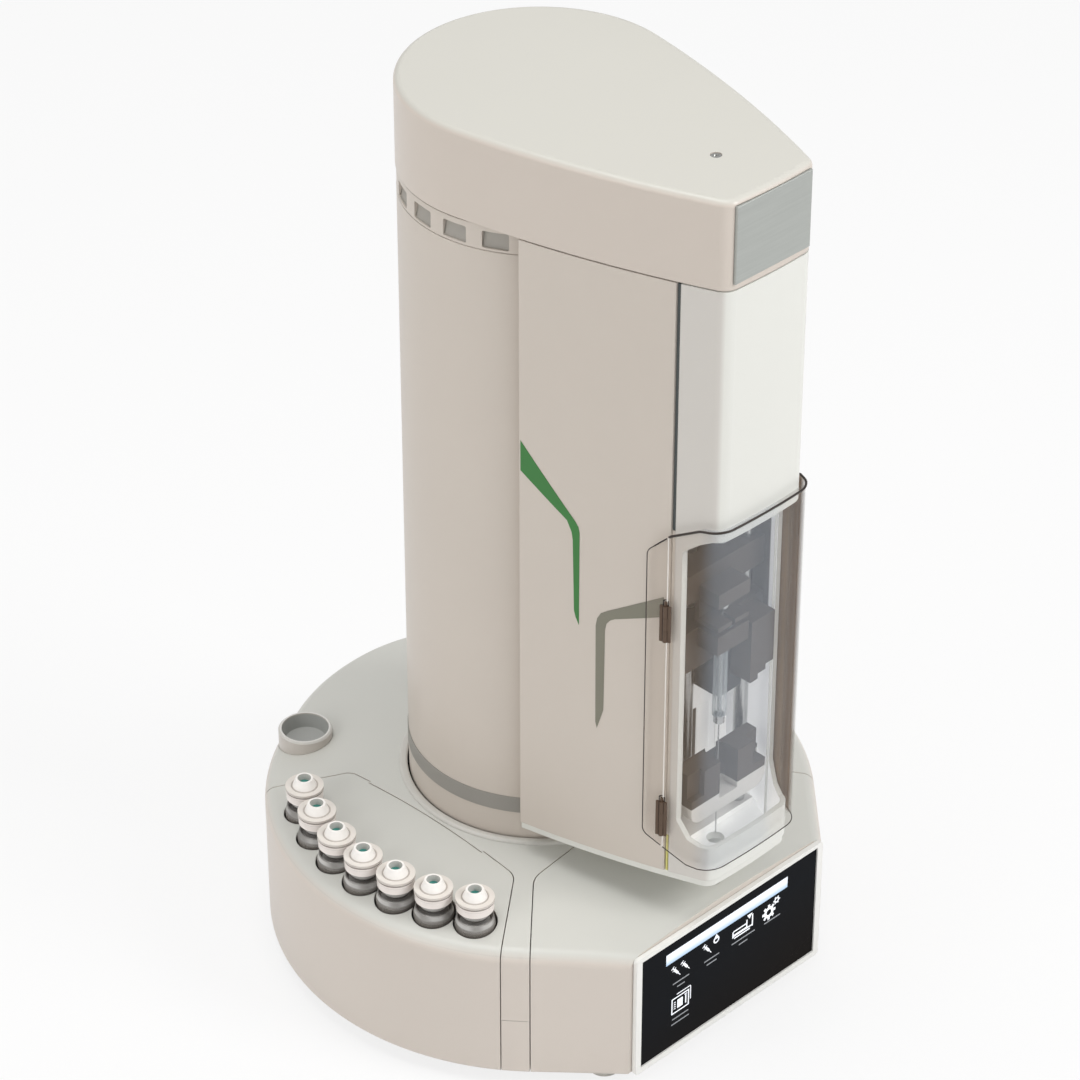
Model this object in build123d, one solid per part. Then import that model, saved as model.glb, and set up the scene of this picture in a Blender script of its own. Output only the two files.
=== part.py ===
"""A bench autosampler: a swivelling tower with a syringe drive over a round base with a vial tray.

Millimetres, +Z up. The origin is on the floor under the tower's swivel axis, and the display faces -Y.
Angles on the base are measured from the front, -Y, and grow towards +X.
"""

from build123d import *
from math import acos, atan2, cos, degrees, hypot, pi, radians, sin, sqrt
import os

# Clearances
overrun = 1.0  # how far a cutting solid runs past the faces that it cuts
seam = 0.5  # the open line between two covers
seat_gap = 0.3  # a piece at rest over its seat
running = 0.05  # radial clearance of a shaft in its bore
slip = 0.2  # one fixed piece inside another

# Base
foot_height = 9.0
foot_radius = 9.8
foot_taper = 0.8
base_radius = 157.3
base_wall = 3.0
base_split = 46.5  # height of the line between the lower pan and the upper cover
cone_apex = 124.3  # where the sloping top of the base would meet the axis
cone_slope_share = 0.2  # fall of that top over its radius
shoulder_radius = 8.0
rim_radius = 2.5
nose_angle = 46.8  # where the round wall turns into the straight sides of the display housing
nose_margin = 2.28  # the flat front reaches past the display's frame by this at each side
back_left_angle = 27.0  # the wall runs straight from these angles off the rear to a flat back
back_right_angle = 39.0
back_beyond = 8.2  # the back stands out past the round wall by this
back_round_share = 0.49  # of the back's width, on which each of its corners is rounded
front_seam_lap = 4.0  # the line behind the display housing runs this far inside the column
front_seam_corner = 12.0

# Sample tray
tray_front_angle = -52.5
tray_rear_angle = -131.5
tray_clear = 6.0  # from the column to the tray's inner edge
tray_step = 1.2  # the middle of the inner edge stands back by this
tray_step_front = 37.0
tray_step_rear = 55.0
tray_corner = 9.0
tray_under = 60.0
well_radius = 12.3
tray_post_radius = 6.0
tray_post_inset = 41.3  # from the base's wall
tray_post_angles = (-65.0, -92.0, -119.0)

# Vials
vial_count = 7
needle_inset = 20.7  # the circle that the vials and the needle share lies this far inside the base's wall
vial_pitch_angle = 10.15
first_vial_angle = -120.6
vial_radius = 11.4
vial_bottom = 68.5
vial_glass = 1.2
vial_shoulder = 97.0
vial_neck_radius = 7.9
vial_neck_low = 102.5
vial_lip_radius = 9.6
vial_lip_low = 107.8
vial_lip_high = 111.0
cap_flange_radius = 10.85
cap_flange_top = 114.5
cap_flange_height = 1.4
cap_groove = 0.9
cap_skirt_radius = 10.45
cap_bead = 0.25
cap_bead_height = 1.2
cap_skirt_low = 107.0
cap_wall = 0.7
cap_groove_depth = 0.4
funnel_radius = 7.0
funnel_top_radius = 4.9
funnel_height = 5.0
funnel_mouth = 3.8
funnel_groove = 0.8  # width of the ring groove at the funnel's foot
funnel_groove_depth = 0.35
septum_depth = 4.0

# Cup holder
cup_angle = -148.6
cup_inset = 17.7  # from the base's wall
cup_radius = 15.6
cup_bore = 13.6
cup_floor_radius = 12.2
cup_top = 105.0
cup_depth = 9.0
cup_skirt = 27.0

# Display
panel_width = 141.0
panel_height = 75.0
panel_low = 13.0
panel_thick = 2.0
bezel_margin = 4.5  # the frame stands out past the panel by this at each side
bezel_foot = 4.0  # and by this below it
bezel_head = 3.0  # and by this above it
bezel_thick = 3.0
bezel_proud = 2.0
module_rim = 3.0
module_depth = 4.6

# Ports in the base top
waste_bore = 1.6
waste_body = 3.0
waste_flange = 6.0
waste_flange_thick = 2.0
waste_length = 16.0
injector_angle = 90.0
injector_bore = 12.0
injector_wall = 2.0
injector_lip = 2.5

# Swivel
column_radius = 74.5
column_wall = 3.0
column_foot = 107.0
ring_gap = 0.8
ring_thick = 5.0
ring_top = 110.3
ring_low = 106.0
hub_radius = 20.0
bearing_wall = 4.0
pedestal_wall = 10.0
pedestal_foot_radius = 48.0
pedestal_foot = 6.0
pedestal_top = 76.0
hub_disc_low = 110.8
hub_disc = 5.0
hub_boss_radius = 32.0
gear_module = 2.0
gear_teeth = 60
pinion_teeth = 20
gear_low = 78.0
gear_width = 8.0
gear_backlash = 0.4
gear_rim_shares = (0.9, 1.25)  # tooth head and foot as shares of the module
gear_flank_angle = 20.0
motor_size = 42.0
motor_length = 38.0
motor_pilot = 11.0
motor_shaft = 2.5

# Tower
tower_floor = 123.0
tower_low = 127.5
cap_top = 548.0
cap_height = 50.0
cap_seam = 0.8
column_step = 0.5  # the side panels stand out past the column by this
side_radius = 663.0
side_start_angle = 9.45
needle_setback = 26.3  # the needle stands this far behind the tip of the nose
nose_face_radius = 400.0
nose_corner = 9.0
tower_wall = 3.0
cap_wall_thick = 4.0
cap_edge = 3.5
panel_rear_y = 51.5
slot_setback = 26.5  # the open line of the front cover, behind the tip of the nose
slot_width = 2.4
floor_inset = 1.0
column_lap = 6.0
band_low = 126.5
band_top = 136.8
band_thick = 0.4
vent_count = 14
vent_pitch_angle = 18.1
vent_first_angle = 62.4
vent_width = 14.3
vent_height = 9.6
vent_drop = 3.2  # from the column's top to the vents
vent_groove_drop = 1.8
vent_groove = 0.5
vent_round_share = 0.07  # of a vent's width
badge_width = 54.0
badge_height = 43.7
badge_rise = 3.5  # from the cap's lower edge
badge_thick = 1.8
badge_sink = 1.3
badge_edge = 0.6
cap_screw_setback = 39.6  # behind the tip of the nose
cap_screw_radius = 3.0
cap_screw_sink = 1.2
cap_screw_socket = 1.25
cap_screw_depth = 0.96

# Window and door
window_setback = 20.3  # behind the tip of the nose
window_low = 149.5
window_top = 348.5
window_side_low = 164.0
window_side_top = 338.5
door_gap = 0.8
door_thick = 3.0
door_setback = 35.9  # behind the tip of the nose
door_low = 138.6
door_top = 358.0
door_side_low = 153.5
door_side_top = 343.0
hinge_width = 5.6
hinge_height = 22.7
hinge_low = 154.8
hinge_high = 282.7
hinge_leaf = 0.8
hinge_knuckle = 1.4
hinge_pin = 0.6
hinge_tab = 2.6
hinge_split = 0.15

# Syringe drive
chassis_setback = 32.6  # this and the next are distances behind the needle
chassis_plate = 4.0
chassis_width = 84.0
chassis_drop = 48.0  # from the cap's lower edge to the head bracket
wall_low = 190.0  # the back wall is open below this height
bracket_thick = 6.0
shelf_setback = 6.6
shelf_width = 74.0
shaft_radius = 4.0
shaft_x = 31.0
shaft_setback = 12.6
screw_radius = 4.0
screw_setback = 24.6
screw_low = 136.0
needle_radius = 0.4
needle_tip = 131.0
barrel_radius = 3.9
barrel_bore = 1.2
barrel_low = 212.0
barrel_length = 54.0
barrel_flange = 6.5
barrel_flange_thick = 2.5
needle_hub = 3.0
needle_hub_length = 5.0
plunger_radius = 1.0
knob_radius = 3.9
knob_rise = 18.0  # the middle of the knob over the barrel's flange
carriage_travel = 40.0
carriage_height = 26.0
carriage_cheek = 6.0  # the carriage stands this far over the seat of the barrel's flange
carriage_width = 76.0
carriage_setback = 5.6
carriage_depth = 25.0
grip_width = 24.0
wing_steps = 3
wing_inner_x = 14.0
wing_step_width = 6.0
wing_drop = 16.5  # from the carriage's underside to the lowest wing
wing_rise = 3.5
wing_reach = 8.9
grip_reach = 8.4  # in front of the needle
plunger_block_rise = 6.0  # from the middle of the knob to the block
plunger_block_height = 18.0
plunger_screw_x = 16.0
plunger_screw_setback = 16.6
plunger_screw_radius = 2.5
plunger_screw_rise = 64.0  # over the plunger block
plunger_motor_size = 20.0
plunger_motor_length = 30.0
guide_low = 155.0
guide_web = 8.0
guide_height = 33.0
guide_width = 58.0
guide_bar_width = 76.0
guide_bar_height = 14.0
guide_bar_depth = 14.0
guide_corner = 8.0
guide_slot = 7.0
guide_hole = 1.0
floor_hole = 5.0

# Rear connectors
recess_middle_x = 7.0
recess_width = 100.0
recess_low = 15.0
recess_top = 43.5
recess_inset = 5.3  # from the base's wall
inlet_x = -20.0
inlet_width = 28.0
inlet_height = 20.5
inlet_depth = 24.0
inlet_flange = 4.0
inlet_flange_thick = 2.0
inlet_cavity_rim = 2.0
inlet_cavity_depth = 15.0
inlet_pin = 1.6
inlet_pin_half = 2.4
inlet_pin_length = 10.0
switch_x = 2.0
switch_width = 12.0
switch_height = 18.0
switch_throw_angle = 12.0
port_first_x = 23.0
port_pitch = 20.0
port_width = 16.0
port_height = 14.0
port_depth = 16.0

# Electronics and fixings in the base
board_x = 84.0
board_y = 0.0
board_width = 62.0
board_length = 104.0
board_thick = 1.6
board_height = 22.0
standoff_radius = 3.0
bracket_bolt_spacing = 120.0
bracket_bolt_radius = 2.0
bracket_boss_radius = 5.5
bracket_boss_height = 7.0
board_chip_shares = (0.333, 1.5)  # a chip's width and a coil's place, of the board's width
cover_post_radius = 4.5
cover_post_inset = 19.3  # from the base's wall
cover_post_angles = (-49.65, 62.0, 122.0, 150.0)
foot_places_shares = ((-0.467, -0.795), (0.467, -0.795), (-0.6, 0.6), (0.6, 0.6))  # of the base's radius

# Worked out: the base and what stands round its axis
bezel_width = panel_width + 2 * bezel_margin
bezel_low = panel_low - bezel_foot
bezel_top = panel_low + panel_height + bezel_head
floor_top = foot_height + base_wall
vial_circle = base_radius - needle_inset
needle_y = -vial_circle
nose_front = (
    base_radius - (bezel_width / 2 + nose_margin) * sin(radians(nose_angle))
) / cos(radians(nose_angle))
back_reach = base_radius + back_beyond
cup_circle = base_radius - cup_inset
cover_post_circle = base_radius - cover_post_inset
tray_post_circle = base_radius - tray_post_inset
recess_y = base_radius - recess_inset
tray_inner_x = column_radius + tray_clear
front_seam_y = column_radius - front_seam_lap
ring_inner = column_radius + ring_gap
ring_outer = ring_inner + ring_thick

# Worked out: the tower
cap_low = cap_top - cap_height
tower_split = cap_low - cap_seam
rear_radius = column_radius + column_step
nose_reach = vial_circle + needle_setback
slot_rear_y = nose_reach - slot_setback
slot_front_y = slot_rear_y + slot_width
window_edge_y = nose_reach - window_setback
door_edge_y = nose_reach - door_setback
cap_screw_y = nose_reach - cap_screw_setback
vent_top = tower_split - vent_drop
vent_low = vent_top - vent_height
vent_groove_low = vent_low - vent_groove_drop
badge_low = cap_low + badge_rise
badge_top = badge_low + badge_height

# Worked out: the syringe drive
chassis_y = vial_circle - chassis_setback
chassis_top = cap_low - chassis_drop
shelf_reach = vial_circle - shelf_setback
shaft_y = vial_circle - shaft_setback
screw_y = vial_circle - screw_setback
plunger_screw_y = vial_circle - plunger_screw_setback
barrel_high = barrel_low + barrel_length
knob_height = barrel_high + knob_rise
carriage_high = barrel_high + carriage_cheek
carriage_low = carriage_high - carriage_height
carriage_front_y = vial_circle - carriage_setback
carriage_back_y = carriage_front_y - carriage_depth
grip_front_y = vial_circle + grip_reach
wing_front_y = vial_circle + wing_reach
wing_low = carriage_low - wing_drop
plunger_block_low = knob_height + plunger_block_rise
plunger_block_high = plunger_block_low + plunger_block_height
plunger_screw_top = plunger_block_high + plunger_screw_rise
guide_high = guide_low + guide_height
guide_front_y = grip_front_y
guide_bar_front_y = carriage_front_y
guide_back_y = guide_bar_front_y - guide_bar_depth


def spot(radius, angle):
    """The place at a radius and an angle from the front."""
    return radius * sin(radians(angle)), -radius * cos(radians(angle))


def at(x, y, z=0.0):
    return Pos(x, y, z)


def rod(radius, low, high, x=0.0, y=0.0):
    """An upright cylinder."""
    return at(x, y, low) * Cylinder(radius, high - low, align=(Align.CENTER, Align.CENTER, Align.MIN))


def tube(outer, inner, low, high, x=0.0, y=0.0):
    return rod(outer, low, high, x, y) - rod(inner, low - overrun, high + overrun, x, y)


def block(x_low, x_high, y_low, y_high, z_low, z_high):
    """A box between its lowest and highest corners."""
    corner = at(x_low, y_low, z_low)
    size = (x_high - x_low, y_high - y_low, z_high - z_low)
    return corner * Box(*size, align=(Align.MIN, Align.MIN, Align.MIN))


def wide_block(width, y_low, y_high, z_low, z_high, x=0.0):
    """A box that is centred on x."""
    return block(x - width / 2, x + width / 2, y_low, y_high, z_low, z_high)


def turned(points):
    """A solid turned about Z from an outline of radius and height."""
    return revolve(Plane.XZ * make_face(Polyline(*points, close=True)), Axis.Z)


def profile_bar(points, half_width, radius=0.0, corners=()):
    """A bar along X whose outline is given in Y and Z, with some corners rounded."""
    face = make_face(Polyline(*points, close=True))
    if radius:
        places = [points[i] for i in corners]
        picked = [v for v in face.vertices() if any(hypot(v.X - y, v.Y - z) < seam for y, z in places)]
        face = fillet(picked, radius)
    return Plane.YZ * Pos(0, 0, -half_width) * extrude(face, amount=2 * half_width)


# Outlines of the base


def base_face(inset=0.0):
    """The base in plan: a circle whose tangents run forward to the display and back to the sockets."""
    radius = base_radius - inset
    front = nose_front - inset
    back = back_reach - inset
    turn = radians(nose_angle)
    left, right = radians(back_left_angle), radians(back_right_angle)
    side = (radius * sin(turn), -radius * cos(turn))
    front_x = side[0] - (front + side[1]) * cos(turn) / sin(turn)
    rear_left = (-radius * sin(left), radius * cos(left))
    rear_right = (radius * sin(right), radius * cos(right))
    back_left = (-(radius - back * cos(left)) / sin(left), back)
    back_right = ((radius - back * cos(right)) / sin(right), back)
    outline = Curve() + Polyline(rear_left, back_left, back_right, rear_right)
    outline += ThreePointArc(rear_right, (radius, 0), side)
    outline += Polyline(side, (front_x, -front), (-front_x, -front), (-side[0], side[1]))
    outline += ThreePointArc((-side[0], side[1]), (-radius, 0), rear_left)
    face = make_face(outline)
    rounding = back_round_share * (back_right[0] - back_left[0])
    for corner, turn in ((back_left, left), (back_right, right)):
        vertex = min(face.vertices(), key=lambda v: hypot(v.X - corner[0], v.Y - corner[1]))
        face = fillet([vertex], rounding * cos(turn / 2) / sin(turn / 2))
    return face


def under_cone(drop=0.0):
    """Everything below the sloping top of the base, lowered by a drop."""
    reach = 2 * base_radius
    apex = cone_apex - drop
    return turned([(0, -overrun), (reach, -overrun), (reach, apex - cone_slope_share * reach), (0, apex)])


def top_height(radius):
    return cone_apex - cone_slope_share * radius


def base_body():
    """The whole outside of the base, with its soft shoulder and rim."""
    body = at(0, 0, foot_height) * extrude(base_face(), amount=cone_apex)
    body = body & under_cone()
    around = [e for e in body.edges() if e.center().Z > base_split]
    around = [e for e in around if e.bounding_box().max.Z < cone_apex - overrun]
    far = [e for e in around if e.center().Y > -nose_front + overrun]
    far = [e for e in far if e.bounding_box().size.Z < shoulder_radius and e.bounding_box().size.Y > overrun]
    body = fillet(far, shoulder_radius)
    under = [e for e in body.edges() if e.bounding_box().max.Z < foot_height + seam]
    return fillet(under, rim_radius)


def base_hollow(low):
    """The inside of the base above a height."""
    hollow = at(0, 0, low) * extrude(base_face(base_wall), amount=cone_apex)
    return hollow & under_cone(base_wall)


def tray_region(inset, low, high):
    """The sector of the base that the tray fills, drawn in by an inset on its three inner sides."""
    edge = tray_inner_x + inset
    step = edge + tray_step
    front = radians(tray_front_angle)
    rear = radians(tray_rear_angle)
    front_y = (edge * cos(front) - inset) / sin(front)
    rear_y = (edge * cos(rear) + inset) / sin(rear)
    far = 2 * base_radius
    points = [
        (-edge, front_y),
        (-edge, -tray_step_front),
        (-step, -tray_step_front),
        (-step, tray_step_rear),
        (-edge, tray_step_rear),
        (-edge, rear_y),
        (far * sin(rear), rear_y - (far * sin(rear) + edge) * cos(rear) / sin(rear)),
        (far * sin(front), front_y - (far * sin(front) + edge) * cos(front) / sin(front)),
    ]
    face = make_face(Polyline(*points, close=True))
    ends = [v for v in face.vertices() if abs(v.X + edge) < seam and abs(v.Y - front_y) < seam]
    ends += [v for v in face.vertices() if abs(v.X + edge) < seam and abs(v.Y - rear_y) < seam]
    return at(0, 0, low) * extrude(fillet(ends, tray_corner), amount=high - low)


def display_region(inset, low, high):
    """The part of the base in front of the column that carries the display."""
    edge = front_seam_y + inset
    turn = radians(nose_angle)
    half = (edge * sin(turn) - inset) / cos(turn)
    far = 2 * base_radius
    points = [
        (-half, -edge),
        (half, -edge),
        (half + far * sin(turn), -edge - far * cos(turn)),
        (-half - far * sin(turn), -edge - far * cos(turn)),
    ]
    face = make_face(Polyline(*points, close=True))
    inner = [v for v in face.vertices() if abs(v.Y + edge) < seam]
    body = at(0, 0, low) * extrude(fillet(inner, front_seam_corner), amount=high - low)
    return body - rod(ring_outer + inset, low - overrun, high + overrun)


# Pieces of the base


def base_pan():
    """The lower pan: a floor with its bosses and, between tray and display, a rim up to the split."""
    outer = base_body() & rod(2 * base_radius, foot_height - overrun, base_split)
    low = foot_height - overrun
    walls = outer - base_hollow(floor_top)
    above = tray_region(0, low, cone_apex) + display_region(0, low, cone_apex)
    floor = at(0, 0, foot_height) * extrude(base_face(base_wall + seam), amount=base_wall)
    pan = (walls - above) + floor
    back = wide_block(
        recess_width, recess_y - base_wall, 2 * base_radius, foot_height, base_split, recess_middle_x
    )
    pan += back & outer
    opening = recess_width - 2 * base_wall
    pan -= wide_block(opening, recess_y, 2 * base_radius, recess_low, recess_top, recess_middle_x)
    for angle in tray_post_angles:
        pan += rod(tray_post_radius, floor_top, tray_under - seat_gap, *spot(tray_post_circle, angle))
    for x, y in bracket_bolts():
        pan += rod(bracket_boss_radius, floor_top, foot_height + bracket_boss_height + base_wall, x, y)
        pan -= rod(bracket_bolt_radius, foot_height - overrun, foot_height + bracket_boss_height, x, y)
    for x, y in board_standoffs():
        pan += rod(standoff_radius, floor_top, board_height, x, y)
    x, y = spot(vial_circle, injector_angle)
    pan -= rod(injector_bore + injector_wall + slip, foot_height - overrun, floor_top + overrun, x, y)
    pan -= inlet_hole()
    pan -= ports_hole()
    return pan


def bracket_bolts():
    half = bracket_bolt_spacing / 2
    return [(-half, -half), (half, -half), (-half, half), (half, half)]


def board_standoffs():
    across = board_width / 2 - 2 * standoff_radius
    along = board_length / 2 - 2 * standoff_radius
    return [(board_x + i * across, board_y + j * along) for i in (-1, 1) for j in (-1, 1)]


def base_cover():
    """The upper cover, open for the column, the tray, the display housing, the cup and the injector."""
    cover = base_body() - base_hollow(foot_height - overrun)
    cover -= rod(2 * base_radius, foot_height - overrun, base_split + seam / 2)
    cover -= tray_region(0, 0, cone_apex)
    cover -= display_region(0, 0, cone_apex)
    cover -= rod(ring_inner + base_wall / 2, base_split, cone_apex)
    inside = base_hollow(floor_top + seat_gap)
    for angle in cover_post_angles:
        cover += rod(
            cover_post_radius, floor_top + seat_gap, cone_apex, *spot(cover_post_circle, angle)
        ) & inside
    x, y = spot(cup_circle, cup_angle)
    cover -= rod(cup_radius + slip / 2, base_split, cone_apex, x, y)
    x, y = spot(vial_circle, injector_angle)
    cover -= rod(injector_bore + injector_wall + slip, base_split, cone_apex, x, y)
    return cover


def cup_holder():
    """The open cup at the rear left, let into the shoulder of the base."""
    x, y = spot(cup_circle, cup_angle)
    cup = turned(
        [
            (0, cup_top - cup_skirt),
            (cup_radius, cup_top - cup_skirt),
            (cup_radius, cup_top - base_wall / 3),
            (cup_radius - base_wall / 3, cup_top),
            (cup_bore, cup_top),
            (cup_floor_radius, cup_top - cup_depth),
            (0, cup_top - cup_depth),
        ]
    )
    hollow = rod(cup_floor_radius, cup_top - cup_skirt - overrun, cup_top - cup_depth - base_wall / 2)
    return at(x, y) * (cup - hollow)


def display_housing():
    """The front shell between the column and the display, full height."""
    shell = base_body() - base_hollow(foot_height - overrun)
    shell &= display_region(seam, foot_height - overrun, cone_apex)
    low, high = panel_low + module_rim, panel_low + panel_height - module_rim
    shell -= wide_block(
        panel_width - 2 * module_rim, -nose_front - overrun, -nose_front + 2 * base_wall, low, high
    )
    shell -= rod(waste_body + slip, base_split, cone_apex, 0, needle_y)
    return shell


def display_bezel():
    """The white frame round the touch panel."""
    back = -nose_front - slip
    frame = wide_block(bezel_width, back - bezel_thick + slip, back, bezel_low, bezel_top)
    frame = fillet(frame.edges().filter_by(Axis.Y), rim_radius)
    low, high = panel_low - slip, panel_low + panel_height + slip
    return frame - wide_block(panel_width + 2 * slip, back - bezel_thick - overrun, back + overrun, low, high)


def touch_glass():
    """The black glass panel, held in the bezel."""
    back = -nose_front - slip
    return wide_block(panel_width, back - panel_thick, back, panel_low, panel_low + panel_height)


def display_module():
    """The panel's backlight and its board, in the opening behind the glass."""
    inset = module_rim + slip
    low, high = panel_low + inset, panel_low + panel_height - inset
    body = wide_block(panel_width - 2 * inset, -nose_front, -nose_front + module_depth, low, high)
    return body


def waste_port():
    """A bush in the base top under the parked needle, flush outside and held by a flange inside."""
    top = top_height(vial_circle)
    bush = rod(waste_body, top - waste_length, cone_apex, 0, needle_y) & under_cone()
    high = top - base_wall - cone_slope_share * waste_flange - slip
    bush += rod(waste_flange, high - waste_flange_thick, high, 0, needle_y)
    return bush - rod(waste_bore, top - waste_length - overrun, cone_apex, 0, needle_y)


def injector_collar():
    """The guide through the base to an injector below it."""
    x, y = spot(vial_circle, injector_angle)
    outer = injector_bore + injector_wall
    lip = top_height(vial_circle) + cone_slope_share * (outer + injector_lip) + slip
    collar = rod(outer, foot_height, lip + injector_lip, x, y)
    collar += rod(outer + injector_lip, lip, lip + injector_lip, x, y)
    return collar - rod(injector_bore, foot_height - overrun, lip + injector_lip + overrun, x, y)


def column_ring():
    """The rounded bead that the column turns in."""
    bead = tube(ring_outer, ring_inner, ring_low, ring_top)
    top = [e for e in bead.edges() if e.bounding_box().min.Z > ring_top - seam]
    bead = fillet(top, (ring_outer - ring_inner) / 3)
    return bead - under_cone(-slip / 2)


def swivel_pedestal():
    """The cast post in the base that carries the tower's bearing and the swivel motor."""
    outer = hub_radius + bearing_wall + pedestal_wall
    post = rod(outer, floor_top, pedestal_top)
    post += rod(pedestal_foot_radius, floor_top, floor_top + pedestal_foot)
    shelf = wide_block(
        motor_size + base_wall, 0, motor_y() + motor_size / 2, pedestal_top - pedestal_foot, pedestal_top
    )
    post += shelf
    post -= rod(
        motor_pilot + slip, pedestal_top - pedestal_foot - overrun, pedestal_top + overrun, 0, motor_y()
    )
    return post - rod(hub_radius + bearing_wall, floor_top - overrun, pedestal_top + overrun)


def swivel_bearing():
    """A plain bush between post and hub."""
    return tube(hub_radius + bearing_wall, hub_radius + running, floor_top + pedestal_foot, pedestal_top)


def motor_y():
    """The pinion's distance from the swivel axis: half the sum of both gears' pitch diameters."""
    return gear_module * (gear_teeth + pinion_teeth) / 2


def square_motor(size, length, top, x, y, pilot, shaft, shaft_top):
    """A stepper motor that hangs below its mounting face, with bevelled corners."""
    body = wide_block(size, y - size / 2, y + size / 2, top - length, top, x)
    body = chamfer(body.edges().filter_by(Axis.Z), size / 10)
    body += rod(pilot, top, top + size / 20, x, y)
    return body + rod(shaft, top, shaft_top, x, y)


def swivel_motor():
    face = pedestal_top - pedestal_foot
    high = gear_low + gear_width
    return square_motor(motor_size, motor_length, face, 0, motor_y(), motor_pilot, motor_shaft, high)


def gear_face(teeth):
    """A spur gear in plan, with straight flanks, thinned at the pitch circle for backlash."""
    pitch = gear_module * teeth / 2
    head = pitch + gear_module * gear_rim_shares[0]
    foot = pitch - gear_module * gear_rim_shares[1]
    quarter = pi / (2 * teeth) - gear_backlash / (2 * pitch)
    slant = sin(radians(gear_flank_angle)) / cos(radians(gear_flank_angle))
    head_half = quarter - (head - pitch) * slant / head
    foot_half = quarter + (pitch - foot) * slant / foot
    points = []
    for tooth in range(teeth):
        middle = 2 * pi * tooth / teeth
        corners = ((foot, -foot_half), (head, -head_half), (head, head_half), (foot, foot_half))
        points += [(radius * cos(middle + turn), radius * sin(middle + turn)) for radius, turn in corners]
    return make_face(Polyline(*points, close=True))


def swivel_pinion():
    """The motor's pinion, with a tooth space facing the hub gear's tooth."""
    gear = Rot(0, 0, 90 + 180 / pinion_teeth) * extrude(gear_face(pinion_teeth), amount=gear_width)
    gear = at(0, motor_y(), gear_low) * gear
    return gear - rod(
        motor_shaft + running, gear_low - overrun, gear_low + gear_width + overrun, 0, motor_y()
    )


def control_board():
    """The main circuit board on its standoffs."""
    low = board_height + slip / 2
    near, far = board_y - board_length / 2, board_y + board_length / 2
    board = wide_block(board_width, near, far, low, low + board_thick, board_x)
    top = low + board_thick
    third = board_width * board_chip_shares[0]
    board += wide_block(third, board_y - third / 2, board_y + third / 2, top, top + base_wall, board_x)
    board += wide_block(
        third / 2, board_y + third, board_y + 2 * third, top, top + 3 * base_wall, board_x - third
    )
    for step in range(3):
        x = board_x - third + step * third
        board += rod(base_wall, top, top + 4 * base_wall, x, board_y - board_chip_shares[1] * third)
    return board


def inlet_hole():
    middle = (recess_low + recess_top) / 2
    low, high = middle - inlet_height / 2 - slip, middle + inlet_height / 2 + slip
    width = switch_x + switch_width / 2 - (inlet_x - inlet_width / 2) + inlet_flange / 2
    x = inlet_x - inlet_width / 2 + width / 2
    return wide_block(width + 2 * slip, recess_y - 2 * base_wall, recess_y + overrun, low, high, x)


def ports_hole():
    middle = (recess_low + recess_top) / 2
    holes = []
    for x in port_places():
        low, high = middle - port_height / 2 - slip, middle + port_height / 2 + slip
        holes.append(
            wide_block(port_width + 2 * slip, recess_y - 2 * base_wall, recess_y + overrun, low, high, x)
        )
    return holes


def port_places():
    return [port_first_x + i * port_pitch for i in range(2)]


def power_inlet():
    """A mains inlet with the frame of its rocker switch, moulded in one."""
    middle = (recess_low + recess_top) / 2
    left = inlet_x - inlet_width / 2
    right = switch_x + switch_width / 2 + inlet_flange / 2
    low, high = middle - inlet_height / 2, middle + inlet_height / 2
    rim = inlet_flange / 2
    face = recess_y + inlet_flange_thick
    body = block(left, right, recess_y - inlet_depth, recess_y, low, high)
    body += block(left - inlet_flange, right + inlet_flange, recess_y, face, low - rim, high + rim)
    deep = face - inlet_cavity_depth
    width = inlet_width - 2 * inlet_cavity_rim
    body -= wide_block(width, deep, face + overrun, low + inlet_cavity_rim, high - inlet_cavity_rim, inlet_x)
    for step in (-1, 0, 1):
        x = inlet_x + step * inlet_width / 4
        z = middle + (inlet_pin if step == 0 else -inlet_pin)
        body += wide_block(
            inlet_pin, deep, deep + inlet_pin_length, z - inlet_pin_half, z + inlet_pin_half, x
        )
    half = switch_height / 2
    return body - wide_block(
        switch_width, recess_y - half, face + overrun, middle - half, middle + half, switch_x
    )


def power_switch():
    """The rocker: a bar with a back round its own axis and two faces that meet at the throw's angle."""
    middle = (recess_low + recess_top) / 2
    half = switch_height / 2 - 2 * slip
    throw = radians(switch_throw_angle)
    face = recess_y + inlet_flange_thick
    back_radius = half + slip
    waist = face - half / 2
    side = sqrt(back_radius**2 - (half / 2) ** 2)
    reach = half - 2 * slip
    back = ThreePointArc((waist, middle + side), (face - back_radius, middle), (waist, middle - side))
    low_end = (face - reach * sin(throw), middle - reach * cos(throw))
    high_end = (face + reach * sin(throw), middle + reach * cos(throw))
    front = Polyline((waist, middle - side), low_end, (face, middle), high_end, (waist, middle + side))
    rocker = extrude(make_face(back + front), amount=switch_width - 2 * slip)
    return Plane.YZ * Pos(0, 0, switch_x - switch_width / 2 + slip) * rocker


def data_ports():
    """Two data sockets through the rear panel."""
    middle = (recess_low + recess_top) / 2
    sockets = []
    for x in port_places():
        low, high = middle - port_height / 2, middle + port_height / 2
        rim = inlet_cavity_rim
        shell = wide_block(port_width, recess_y - port_depth, recess_y + slip, low, high, x)
        inside = (recess_y - port_depth + rim, recess_y + overrun, low + rim, high - rim)
        sockets.append(shell - wide_block(port_width - 2 * rim, *inside, x))
    return sockets


def feet():
    """Four turned feet under the pan."""
    foot = turned(
        [
            (0, 0),
            (foot_radius - foot_taper, 0),
            (foot_radius, foot_height / 2),
            (foot_radius - foot_taper / 2, foot_height),
            (0, foot_height),
        ]
    )
    return [at(base_radius * x, base_radius * y) * foot for x, y in foot_places_shares]


# Tray and vials


def vial_places():
    return [spot(vial_circle, first_vial_angle + i * vial_pitch_angle) for i in range(vial_count)]


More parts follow.
